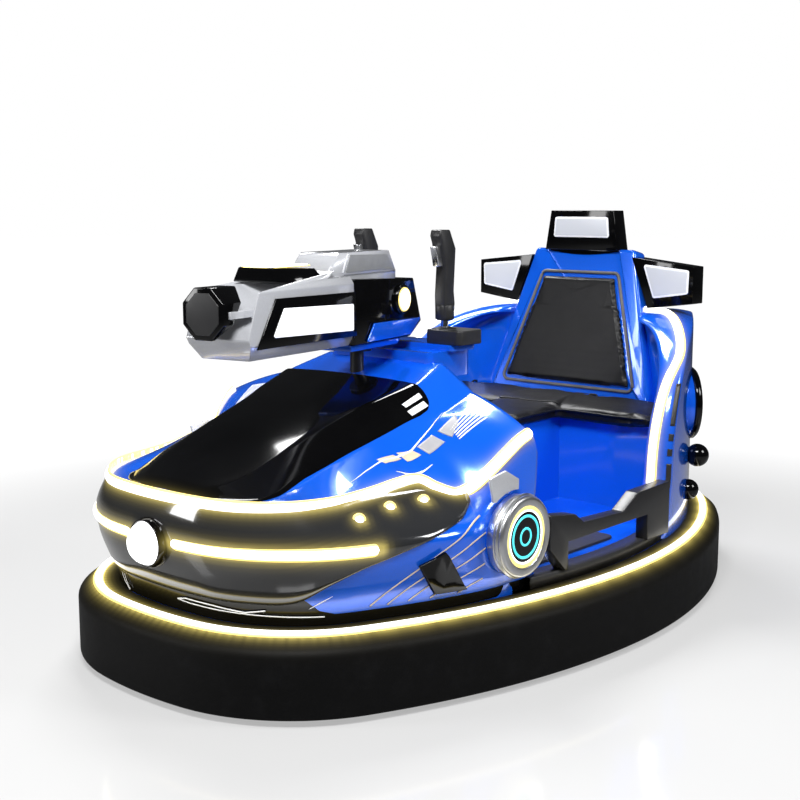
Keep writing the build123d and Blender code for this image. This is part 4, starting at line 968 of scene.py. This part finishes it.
def bilinear(corners, rows=10, columns=10):
    """Two grids between four corners: the two upper corners mixed along a row, then mixed with the lower ones."""
    a, b, c, d = np.array(corners, float)
    u, v = np.meshgrid(np.linspace(0, 1, columns), np.linspace(0, 1, rows))
    u, v = u[..., None], v[..., None]
    return np.moveaxis((a * (1 - u) + b * u) * (1 - v) + (d * (1 - u) + c * u) * v, -1, 0)


def graphic(name, grid, finish):
    """A thin painted patch laid over a wall."""
    return skin(name, grid, finish, wall=0.0005)


def line_on(place, path, width, count=60):
    """Grid of a painted line: the path moved by half a width to each side along its normal, then placed."""
    path = even(path, count)
    ahead = unit(np.gradient(path, axis=0))
    normal = np.stack([-ahead[:, 1], ahead[:, 0]], 1) * np.broadcast_to(width, len(path))[:, None] / 2
    rows = np.stack([path - normal, path + normal])
    return place(rows[..., 0], rows[..., 1])


HOOD_SLOTS = (((0.224, -0.409), (0.235, -0.407), (0.239, -0.357), (0.227, -0.355)),
              ((0.243, -0.412), (0.257, -0.412), (0.261, -0.362), (0.247, -0.362)))
HOOD_STRIPES = (((0.287, -0.559), (0.304, -0.55), (0.306, -0.502), (0.292, -0.514)),
                ((0.292, -0.503), (0.316, -0.494), (0.323, -0.458), (0.305, -0.468)),
                ((0.307, -0.454), (0.333, -0.443), (0.341, -0.401), (0.311, -0.41)),
                ((0.315, -0.395), (0.347, -0.384), (0.337, -0.351), (0.314, -0.332)))
# Painted highlights: thin white lines along the windshield's lower edge and along the flank's ridge, where light
# catches the hood.
HOOD_HIGHLIGHT_LINES = (((0.301, -0.654), (0.296, -0.6), (0.295, -0.547), (0.3, -0.5), (0.305, -0.469), (0.299, -0.4),
               (0.288, -0.345)), ((0.329, -0.545), (0.34, -0.5), (0.349, -0.452)))
HATCH = ((0.333, -0.373), (0.365, -0.379), (0.386, -0.301), (0.326, -0.309))
PINSTRIPES = (0.349, 0.3155, 0.282, 0.2485, 0.215)
# Painted highlight: a tapering white line along the crease at the side panel's front tip, where it catches the light.
PANEL_HIGHLIGHT = ((-0.784, 0.214), (-0.77, 0.226), (-0.752, 0.24))
CHEEK_SPOTS = ((-0.695, 0.386), (-0.61, 0.396), (-0.525, 0.398))
CHEEK_LENS = ((-0.003, 0.0105), (0.002, 0.01), (0.0048, 0.0075), (0.0062, 0.004), (0.0066, 0.0005))
CHEEK_RIM = ((-0.003, 0.015), (0.0012, 0.0146), (0.0022, 0.0125), (0.0014, 0.0102), (-0.003, 0.01))
for side, sign in SIDES:
    over = lambda x, y, lift=0.0012: on_hood(sign * x, y, lift)
    for k, corners in enumerate(HOOD_SLOTS):
        graphic(f"shield_slot_{side}_{k + 1}", over(*bilinear(corners), 0.0048), white_print_and_highlight)
    for k, corners in enumerate(HOOD_STRIPES):
        graphic(f"hood_stripe_{side}_{k + 1}", over(*bilinear(corners)), (tan, grey_stripe)[k > 1])
    # Painted highlights: white lines on the hood where its edges catch the light.
    for k, path in enumerate(HOOD_HIGHLIGHT_LINES):
        width = 0.0035 * np.sin(np.linspace(0.15, math.pi - 0.15, 60))
        graphic(f"hood_line_{side}_{k + 1}", line_on(over, path, width), white_print_and_highlight)
    a, b, c, d = np.array(HATCH)
    for k in range(6):
        near, far = k / 6, (k + 0.45) / 6
        cell = bilinear((a + (b - a) * near, a + (b - a) * far, d + (c - d) * far, d + (c - d) * near), 12, 3)
        graphic(f"hood_hatch_{side}_{k + 1}", over(*cell), white_print_and_highlight)
    beside = lambda y, z: wall_point(y, z, sign, 0.0006)
    for k, height in enumerate(PINSTRIPES):
        y = np.linspace(-0.78, -0.43, 90)
        z = height + 0.4 * (y + 0.47) - 1.35 * (y + 0.47) ** 2
        keep = (z > 0.206) & (z < band_height(y) - 0.01)
        graphic(f"pinstripe_{side}_{k + 1}", line_on(beside, np.stack([y, z], 1)[keep], 0.003), tan)
    # Painted highlight on the side panel's front crease.
    graphic(f"panel_painted_highlight_{side}", line_on(beside, PANEL_HIGHLIGHT, 0.0024 * np.sin(np.linspace(0.1, 3.0, 60))), white_print_and_highlight)
    for k, (y, z) in enumerate(CHEEK_SPOTS):
        spot, outer_spot = wall_point(y, z, sign, 0.0045), wall_point(y, z, sign, 0.0145)
        out = outer_spot - spot
        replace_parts(turned(f"cheek_light_{side}_{k + 1}", CHEEK_LENS, spot, out, strip, count=32), "cheek_lights")
        turned(f"cheek_light_rim_{side}_{k + 1}", CHEEK_RIM, spot, out, strip_edge, count=32, ends=False)
        lit_paths.append(np.array([spot]))


def on_skirt(x, z):
    """Point of the nose wall, 1.2 mm proud, at a side place and height near the car's middle."""
    samples = nose_wall(np.linspace(0.06, 0.94, 500), 0.2, 0.0012)
    return np.stack([x, np.interp(-x, -samples[:, 0], samples[:, 1]) + 0.2 * (0.2 - z), z], -1)


upper = ((0.035, 0.203), (0.06, 0.2085), (0.134, 0.2075), (0.206, 0.202), (0.245, 0.209))
lower = ((0.035, 0.203), (0.07, 0.2), (0.134, 0.1995), (0.206, 0.199), (0.33, 0.196))
graphic("skirt_line_upper", line_on(on_skirt, upper, 0.003), white_print_and_highlight)
graphic("skirt_line_lower", line_on(on_skirt, lower, 0.0024), white_print_and_highlight)
for k, shift in enumerate((0.0, 0.0135)):
    edge = ((-0.164 - shift, 0.215), (-0.158 - 0.8 * shift, 0.196), (-0.148 - shift / 3, 0.182))
    graphic(f"skirt_bar_{k + 1}", line_on(on_skirt, edge, 0.0028), white_print_and_highlight)
graphic("skirt_bar_end", line_on(on_skirt, ((-0.148, 0.182), (-0.153, 0.18)), 0.0028, 8), white_print_and_highlight)

# ---- Nose lamp: bright lens in a dark rim ----
LAMP = (0.0, -0.905, 0.324)
dome = [(0.03 + 0.0392 * math.sin(a), 0.045 * math.cos(a)) for a in np.linspace(0, 1.56, 16)]
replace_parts(turned("nose_lamp_lens", dome, LAMP, (0, -1, 0), lamp_white), "nose_lamp")
bezel_profile = rounded(((0.0, 0.052), (0.028, 0.052), (0.04, 0.049), (0.04, 0.0462), (0.0, 0.0448)), 0.0035, 5)
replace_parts(turned("nose_lamp_rim", np.concatenate([bezel_profile, bezel_profile[:1]]), LAMP, (0, -1, 0), black,
                   slot="silver_metal", ends=False), "nose_bezel")

# ---- Hubs: turned barrel, groove, bevel and glowing rings ----
HUB_Y, HUB_Z, HUB_FACE = -0.345, 0.31, 0.52
BARREL = ((-0.046, 0.08), (-0.04, 0.0862), (-0.024, 0.0885), (-0.0215, 0.0885), (-0.0205, 0.0868),
          (-0.0185, 0.0868), (-0.0175, 0.0905), (-0.015, 0.0915), (-0.0125, 0.0905), (-0.0115, 0.0868),
          (-0.01, 0.0868), (-0.009, 0.0882), (-0.006, 0.088), (-0.0018, 0.0858), (0.0, 0.082), (0.0004, 0.078),
          (0.0, 0.07), (-0.0008, 0.0672), (-0.0022, 0.066), (-0.006, 0.0655))
DISC = ((-0.008, 0.066), (-0.0036, 0.066), (-0.0032, 0.062), (-0.0032, 0.0005))
RINGS = (("yellow", 0.0625, 0.011, strip_edge), ("pale", 0.0565, 0.005, strip),
         ("outer_cyan", 0.0445, 0.0064, cyan), ("inner_cyan", 0.018, 0.0056, cyan))
for side, sign in SIDES:
    centre, out = (sign * HUB_FACE, HUB_Y, HUB_Z), (sign, 0, 0)
    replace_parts(turned(f"hub_barrel_{side}", BARREL, centre, out, silver_turned, count=120), "hub_drums")
    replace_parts(turned(f"hub_face_{side}", DISC, centre, out, hub_black, count=96), "hub_faces")
    for name, radius, width, finish in RINGS:
        bead = ((-0.004, radius + width / 2), (-0.0022, radius + 0.42 * width), (-0.0016, radius),
                (-0.0022, radius - 0.42 * width), (-0.004, radius - width / 2))
        turned(f"hub_ring_{name}_{side}", bead, centre, out, finish, count=96, ends=False)

# ---- Rear pods and balls ----
POD, POD_OUT = (0.352, 0.612, 0.468), (1, 1, 0)
POD_PARTS = (("barrel", ((-0.045, 0.08), (-0.04, 0.0925), (0.0, 0.0945), (0.006, 0.094), (0.006, 0.086)), blue),
             ("rim", ((0.002, 0.086), (0.002, 0.096), (0.008, 0.0985), (0.017, 0.0975), (0.022, 0.093),
                      (0.022, 0.088), (0.017, 0.085)), black),
             ("dome", [(0.016 + 0.022 * math.cos(a), 0.0865 * math.sin(a))
                       for a in np.linspace(math.pi / 2, 0.006, 24)], blue))
BALLS = ((0.425, 0.556, 0.34, 0.0305), (0.421, 0.52, 0.252, 0.0275))
for side, sign in SIDES:
    flip = np.array((sign, 1, 1))
    for name, profile, finish in POD_PARTS:
        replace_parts(turned(f"pod_{name}_{side}", profile, POD * flip, POD_OUT * flip, finish, count=96), "rear_pods")
    for k, (x, y, z, radius) in enumerate(BALLS):
        arc = [(-radius * math.cos(a), radius * math.sin(a)) for a in np.linspace(0.012, math.pi - 0.012, 28)]
        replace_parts(turned(f"rear_ball_{side}_{k + 1}", arc, (sign * x, y, z), (sign, 0, 0), black, count=56),
                    "rear_balls")

# ---- Lamps round the seat back: pale windows in white borders ----
LAMP_FRONT = 0.618
WINDOWS = {"top": ((-0.094, 0.909), (0.094, 0.909), (0.089, 0.967), (-0.089, 0.967)),
           "left": ((0.206, 0.839), (0.349, 0.826), (0.347, 0.762), (0.24, 0.746)),
           "right": ((-0.206, 0.839), (-0.349, 0.826), (-0.347, 0.762), (-0.24, 0.746))}
ahead_of_lamps = lambda x, z, h: np.stack([x, LAMP_FRONT - h, z], -1)
for name, corners in WINDOWS.items():
    outline = rounded(corners, 0.007, 6)
    block(f"lamp_border_{name}", outline, ahead_of_lamps, 0.0022, white_print_and_highlight, 0.0008, slot="window_white")
    inset = shrunk(outline, 0.0055)
    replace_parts(block(f"lamp_window_{name}", inset, lambda x, z, h: ahead_of_lamps(x, z, h + 0.0012), 0.0018,
                      window_white, 0.0007), "lamp_windows")
foot = rounded(((-0.119, 0.632), (0.119, 0.632), (0.119, 0.668), (-0.119, 0.668)), 0.006, 4)
block("top_lamp_foot", foot, lambda x, y, h: np.stack([x, y, 0.852 + h], -1), 0.032, black, 0.003)

# ---- Joysticks ----
STICK_X, STICK_Y = 0.124, -0.142
STICK_PARTS = (("collar", ((-0.004, 0.0195), (0.0, 0.0225), (0.03, 0.0228), (0.0335, 0.0205), (0.034, 0.015)), 0.735),
               ("seat", ((-0.002, 0.03), (0.0015, 0.029), (0.003, 0.02), (0.0055, 0.014)), 0.71))
for side, sign in SIDES:
    for name, profile, z in STICK_PARTS:
        turned(f"stick_{name}_{side}", profile, (sign * STICK_X, STICK_Y, z), (0, 0, 1), satin, count=48)

# ---- Cannon: panel, lens, lamp, tabs and the crest's plate ----
GUN_TURN = math.radians(12)
GUN_PIVOT_Y = -0.315
GUN_NECK, GUN_NOSE = 0.49, 0.53  # distances ahead of the pivot between which the nose is drawn back
CREST_TOP, CREST_FRONT = 0.897, 0.205
MUZZLE_Z = 0.791


def on_gun(ahead, z, across):
    """Point of the cannon: ahead of its pivot along the barrel, height and distance to its left."""
    ahead, z, across = np.broadcast_arrays(np.asarray(ahead, float), z, across)
    x = ahead * math.sin(GUN_TURN) + across * math.cos(GUN_TURN)
    y = GUN_PIVOT_Y - ahead * math.cos(GUN_TURN) + across * math.sin(GUN_TURN)
    return np.stack([x, y, z], -1)


def warp_gun(made, move):
    """Moves a cannon piece's points: move takes and gives (ahead, z, across)."""
    x, y, z = read_points(made).T
    ahead = x * math.sin(GUN_TURN) - (y - GUN_PIVOT_Y) * math.cos(GUN_TURN)
    across = x * math.cos(GUN_TURN) + (y - GUN_PIVOT_Y) * math.sin(GUN_TURN)
    write_points(made, on_gun(*move(ahead, z, across)))


def body_shape(ahead, z, across):
    """The crest cut to a trapezium, steeper at its rear, and the nose drawn back behind the muzzle's face."""
    f = np.clip((z - 0.846) / 0.052, 0, 1)
    front = CREST_FRONT - 0.05 * f
    ahead = np.where((z > 0.8505) & (ahead > front), front, ahead)
    ahead = np.where((z > 0.8445) & (np.abs(across) < 0.0525) & (ahead < 0.02), ahead - 0.046, ahead)
    drawn = GUN_NECK + (ahead - GUN_NECK) * (GUN_NOSE - GUN_NECK) / (np.max(ahead) - GUN_NECK)
    return np.where(ahead > GUN_NECK, drawn, ahead), np.minimum(z, CREST_TOP), across


def lamp_shape(ahead, z, across):
    """The top lamp made taller: its side becomes a trapezium between the given front and rear edges."""
    f = (z - z.min()) / (z.max() - z.min())
    rear, front = (np.array([edge(ahead[f < 0.3]), edge(ahead[f > 0.7])]) for edge in (np.min, np.max))
    span = (front[0] - rear[0]) * (1 - f) + (front[1] - rear[1]) * f
    share = np.clip((ahead - (rear[0] + (rear[1] - rear[0]) * f)) / span, 0, 1)
    wide = (0.062 - 0.02 * f) / np.max(np.abs(across))
    return (0.214 + 0.026 * f) * (1 - share) + (0.402 - 0.004 * f) * share, 0.828 + 0.047 * f, across * wide


warp_gun(gun_parts["gun_body"], body_shape)
warp_gun(gun_parts["gun_top_lamp"], lamp_shape)
warp_gun(gun_parts["gun_rear"], lambda s, z, a: (np.where(s < -0.05, s - 0.03, s), z, a))
warp_gun(gun_parts["gun_muzzle"], lambda s, z, a: (s, MUZZLE_Z + (z - MUZZLE_Z) * 1.08, a * 1.04))
base = rounded(((-0.098, -0.05), (0.2, -0.05), (0.2, 0.05), (-0.098, 0.05)), 0.004, 4)
block("crest_base", base, lambda s, a, h: on_gun(s, 0.826 + h, a), 0.026, gun_silver, 0.002, "cannon")
GUN_COLLAR = ((-0.002, 0.036), (0.006, 0.035), (0.0085, 0.032), (0.0085, 0.029), (0.003, 0.027))
GUN_EDGE = ((0.004, 0.0285), (0.0098, 0.028), (0.01, 0.024))
GUN_LENS = ((0.004, 0.0262), (0.0098, 0.0258), (0.0112, 0.018), (0.0118, 0.0005))
REAR_SKIRT = ((-0.168, 0.733), (0.052, 0.735), (0.084, 0.694), (-0.118, 0.696))
WINDOW = ((0.415, 0.795), (0.148, 0.786), (0.148, 0.727), (0.454, 0.738))
CREST_PLATE = ((-0.084, 0.853), (-0.052, 0.888), (0.112, 0.892), (0.132, 0.853))
# Painted highlight: a thin white strip along the crest's slanted front chamfer, where it catches the light.
CREST_HIGHLIGHT = ((0.14, 0.853), (0.119, 0.894), (0.124, 0.894), (0.146, 0.853))
for side, sign in SIDES:
    beside_gun = lambda s, z, h, base=0.082: on_gun(s, z, sign * (base + h))
    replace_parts(block(f"gun_window_{side}", rounded(WINDOW, 0.004, 5), beside_gun, 0.002, panel_white, 0.0007,
                      "cannon"), "gun_lights")
    beside_crest = lambda s, z, h: beside_gun(s, z, h, 0.0515)
    block(f"crest_plate_{side}", rounded(CREST_PLATE, 0.004, 5), beside_crest, 0.0014, plate_grey, 0.0005, "cannon")
    # Painted highlight along the crest's front chamfer.
    block(f"crest_painted_highlight_{side}", np.array(CREST_HIGHLIGHT), beside_crest, 0.0016, white_print_and_highlight, 0.0004, "cannon")
    centre, out = on_gun(-0.082, 0.781, sign * 0.074), on_gun(0, 0, sign) - on_gun(0, 0, 0)
    turned(f"gun_lens_collar_{side}", GUN_COLLAR, centre, out, black, "cannon", count=64)
    turned(f"gun_lens_edge_{side}", GUN_EDGE, centre, out, strip_edge, "cannon", count=64)
    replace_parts(turned(f"gun_lens_{side}", GUN_LENS, centre, out, lamp_white, "cannon", "window_white", 64),
                "gun_lights")
    block(f"gun_rear_skirt_{side}", rounded(REAR_SKIRT, 0.003, 4), lambda s, z, h: beside_gun(s, z, h, 0.0765),
          0.004, blue, 0.001, "cannon")
    tab = rounded(((0.47, 0.781), (0.556, 0.781), (0.556, 0.796), (0.47, 0.796)), 0.002, 4)
    block(f"muzzle_tab_{side}", tab, lambda s, z, h: beside_gun(s, z, h, 0.03), 0.0245, gun_silver, 0.002, "cannon")

glow_top = rounded(((0.253, -0.037), (0.393, -0.037), (0.393, 0.037), (0.253, 0.037)), 0.008, 5)
block("top_lamp_glow", glow_top, lambda s, a, h: on_gun(s, 0.8736 + h, a), 0.0035, strip, 0.0012, "cannon")
block("top_lamp_glow_edge", shrunk(glow_top, -0.005), lambda s, a, h: on_gun(s, 0.8732 + h, a), 0.002, strip_edge,
      0.0008, "cannon")
octagon = [(0.043 * math.cos(a), MUZZLE_Z + 0.045 * math.sin(a)) for a in np.arange(8) * math.pi / 4 + math.pi / 8]
block("muzzle_face", rounded(octagon, 0.002, 3), lambda a, z, h: on_gun(0.5725 + h, z, a), 0.003, satin, 0.001,
      "cannon", "black_gloss")

# ---- Seat cushion and back pad: swollen by cloth ----
CLOTH_FRAMES = 20


def padding(name, outline, place, node, voxel, cap):
    """A cushion: a closed block, remeshed, swollen by cloth under pressure with each point's move capped."""
    made = block(name, outline, place, 1.0, seat_vinyl, 0.22)
    remesh = made.modifiers.new("even", "REMESH")
    remesh.mode, remesh.voxel_size = "VOXEL", voxel
    apply_modifiers(made)
    before = read_points(made)
    cloth = made.modifiers.new("stuffed", "CLOTH")
    cloth.settings.quality = 4
    cloth.settings.use_pressure = True
    cloth.settings.uniform_pressure_force = 4.0
    cloth.settings.effector_weights.gravity = 0
    cloth.settings.tension_stiffness = 12
    cloth.point_cache.frame_end = CLOTH_FRAMES
    for frame_now in range(1, CLOTH_FRAMES + 1):
        bpy.context.scene.frame_set(frame_now)
    graph = bpy.context.evaluated_depsgraph_get()
    after = np.empty_like(before).ravel()
    made.evaluated_get(graph).to_mesh().vertices.foreach_get("co", after)
    made.evaluated_get(graph).to_mesh_clear()
    made.evaluated_get(graph).to_mesh_clear()
    made.modifiers.clear()
    bpy.context.scene.frame_set(1)
    move = after.reshape(-1, 3) - before
    reach = np.linalg.norm(move, axis=1, keepdims=True)
    write_points(made, before + move * np.minimum(1, cap / np.maximum(reach, 1e-9)))
    finer = made.modifiers.new("finer", "SUBSURF")
    finer.levels = finer.render_levels = 1
    apply_modifiers(made)
    made.data.materials.clear()
    made.data.materials.append(seat_vinyl.material)
    made.data.shade_smooth()
    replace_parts(made, node)
    return made


def snapped(made, path, lift=0.0):
    """A path moved to the nearest points of a piece's surface, then out along their normals."""
    tree = BVHTree.FromObject(made, bpy.context.evaluated_depsgraph_get())
    hits = [tree.find_nearest(Vector(point)) for point in path]
    return np.array([np.array(hit[0]) + lift * np.array(hit[1]) for hit in hits])


SEAT_BASE, SADDLE, SEAT_FRONT, SEAT_REAR = 0.431, 0.104, 0.362, 0.53
widths = [(y, min(0.392, float(oval_width(y, 0.142))))
          for y in np.linspace(SEAT_FRONT + 0.006, SEAT_REAR - 0.006, 7)]
half_seat = [(SADDLE, 0.14), (SADDLE, SEAT_FRONT + 0.004), *[(x, y) for y, x in widths]]
seat_corners = half_seat + [(-x, y) for x, y in half_seat[::-1]]
seat_radii = [0.03, 0.022, 0.03] + [0.01] * 5 + [0.03]
seat_outline = rounded(seat_corners, seat_radii + seat_radii[::-1], 6)


def seat_place(x, y, h):
    """Height share h of the cushion between its base and a top that rises to the rear."""
    top = np.interp(y, (0.13, 0.36, 0.53), (0.452, 0.456, 0.478))
    return np.stack([x, y, SEAT_BASE + h * (top - SEAT_BASE)], -1)


cushion = padding("seat_cushion_vinyl", seat_outline, seat_place, "seat_cushion", voxel=0.005, cap=0.007)
seat_path = even(np.concatenate([seat_place(*seat_outline.T, 0.82), seat_place(*seat_outline[:1].T, 0.82)]),
                 420)[:-1]
tube("seat_cushion_piping", snapped(cushion, seat_path, 0.001), 0.0032, seat_vinyl, closed=True)
across_seam = np.stack([np.linspace(-SADDLE, SADDLE, 40), np.full(40, SEAT_FRONT + 0.012), np.full(40, 0.48)], 1)
tube("saddle_seam", snapped(cushion, across_seam, 0.0006), 0.0022, seat_vinyl)
back_inner = shrunk(pad_outline, 0.006)
pad_place = lambda x, up, h: on_back(x, up, 0.0008 + 0.01 * h)
padding("back_pad_vinyl", back_inner, pad_place, "back_pad", voxel=0.004, cap=0.006)

# ---- Finishes of the solids that stay ----
KEPT = {"battery_block": case_plastic, "drive_motors": enamel, "motor_brackets": powder, "chassis_frame": powder,
        "chassis_pan": powder, "wheel_rim_left": zinc, "wheel_rim_right": zinc, "tyre_left": tread_rubber,
        "tyre_right": tread_rubber, "castor_plates": zinc, "castor_fork_front": zinc, "castor_fork_rear": zinc,
        "castor_wheel_front": castor_tread, "castor_wheel_rear": castor_tread, "joystick_stems": chrome,
        "gun_post": satin, "charge_socket": satin}
for name, node in nodes.items():
    node.data.materials.clear()
    node.data.materials.append(KEPT.get(name, satin).material)

# ---- Glow of the strips on what is near them ----
GLOW_CORE, GLOW_REACH = 0.01, 0.007  # distance of full glow, and the one over which it falls to 1 / e
STEP = 4000  # points compared at a time
lit = np.concatenate([even(path, max(2, len(path) // 2)) if len(path) > 1 else path for path in lit_paths])
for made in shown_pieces():
    if made.type != "MESH" or made in nodes.values() or made.name.startswith(("lamp_", "step_pads", "gun_")):
        continue
    points = read_points(made)
    nearest = np.full(len(points), 9.0)
    low, high = points.min(0) - 0.05, points.max(0) + 0.05
    near_lit = lit[((lit > low) & (lit < high)).all(1)]
    for start in range(0, len(points) if len(near_lit) else 0, STEP):
        gap = points[start:start + STEP, None] - near_lit[None]
        nearest[start:start + STEP] = np.sqrt((gap**2).sum(-1).min(1))
    glow = np.exp(-np.maximum(nearest - GLOW_CORE, 0) / GLOW_REACH)
    made.data.attributes.new("glow", "FLOAT", "POINT").data.foreach_set("value", glow)

# ---- Camera, floor and lights ----
scene = bpy.context.scene
scene.view_settings.view_transform = "Standard"
camera = bpy.data.objects.new("camera", bpy.data.cameras.new("camera"))
camera.location = (2.057, -2.48, 1.005)
camera.rotation_euler = (math.radians(81.25), 0, math.radians(41.59))
camera.data.lens = 57.5
camera.data.sensor_width = 36
scene.collection.objects.link(camera)
scene.camera = camera


world = bpy.data.worlds.new("studio")
world.use_nodes = True
scene.world = world
sky = Nodes(world.node_tree)
shaded = world.node_tree.nodes["Background"]
sky.put(shaded.inputs["Color"], (0.9, 0.94, 1.0))
sky.put(shaded.inputs["Strength"], 0.035)
seen = sky.ray("Camera").maths("MAXIMUM", sky.ray("Transmission"))
white = sky.node("ShaderNodeBackground", {}, {"Color": (1, 1, 1), "Strength": 1.0})
plain = sky.node("ShaderNodeMixShader", {}, {0: seen, 1: Value(sky, shaded.outputs[0]), 2: white})
sky.put(world.node_tree.nodes["World Output"].inputs["Surface"], plain)

floor_mesh = bpy.data.meshes.new("studio_floor")
floor_mesh.from_pydata([(-30, -30, 0), (30, -30, 0), (30, 30, 0), (-30, 30, 0)], [], [(0, 1, 2, 3)])
floor = bpy.data.objects.new("studio_floor", floor_mesh)
scene.collection.objects.link(floor)
paper = Finish("studio_floor", Base_Color=(0.3, 0.3, 0.3), Roughness=0.1, Specular_IOR_Level=0.35,
               Emission_Strength=1.0)
reach = paper.node("ShaderNodeVectorMath", {"operation": "LENGTH"}, {0: paper.place()}, "Value")
away = paper.node("ShaderNodeMapRange", {"interpolation_type": "SMOOTHSTEP"},
                  {"Value": reach, "From Min": 1.3, "From Max": 3.2, "To Min": 0.44, "To Max": 1.0})
paper.feed("Emission Color", paper.mix(paper.ray("Camera") * away, (0, 0, 0), (1, 1, 1)))
floor_mesh.materials.append(paper.material)

for name, place, target, size, power in (
    ("key", (1.6, -2.4, 3.6), (0, -0.2, 0.3), (1.6, 0.8), 185),
    ("top", (-1.6, 0.9, 3.4), (0, 0, 0.3), (1.4, 1.4), 150),
    ("left", (3.0, 0.9, 2.3), (0, 0, 0.4), (1.0, 1.0), 60),
    ("front", (-1.9, -3.4, 1.7), (0, -0.4, 0.4), (0.7, 1.6), 45),
):
    lamp = bpy.data.objects.new(name, bpy.data.lights.new(name, "AREA"))
    lamp.data.shape = "RECTANGLE"
    lamp.data.size, lamp.data.size_y = size
    lamp.data.energy = power
    lamp.location = place
    lamp.rotation_euler = (Vector(target) - Vector(place)).to_track_quat("-Z", "Y").to_euler()
    scene.collection.objects.link(lamp)
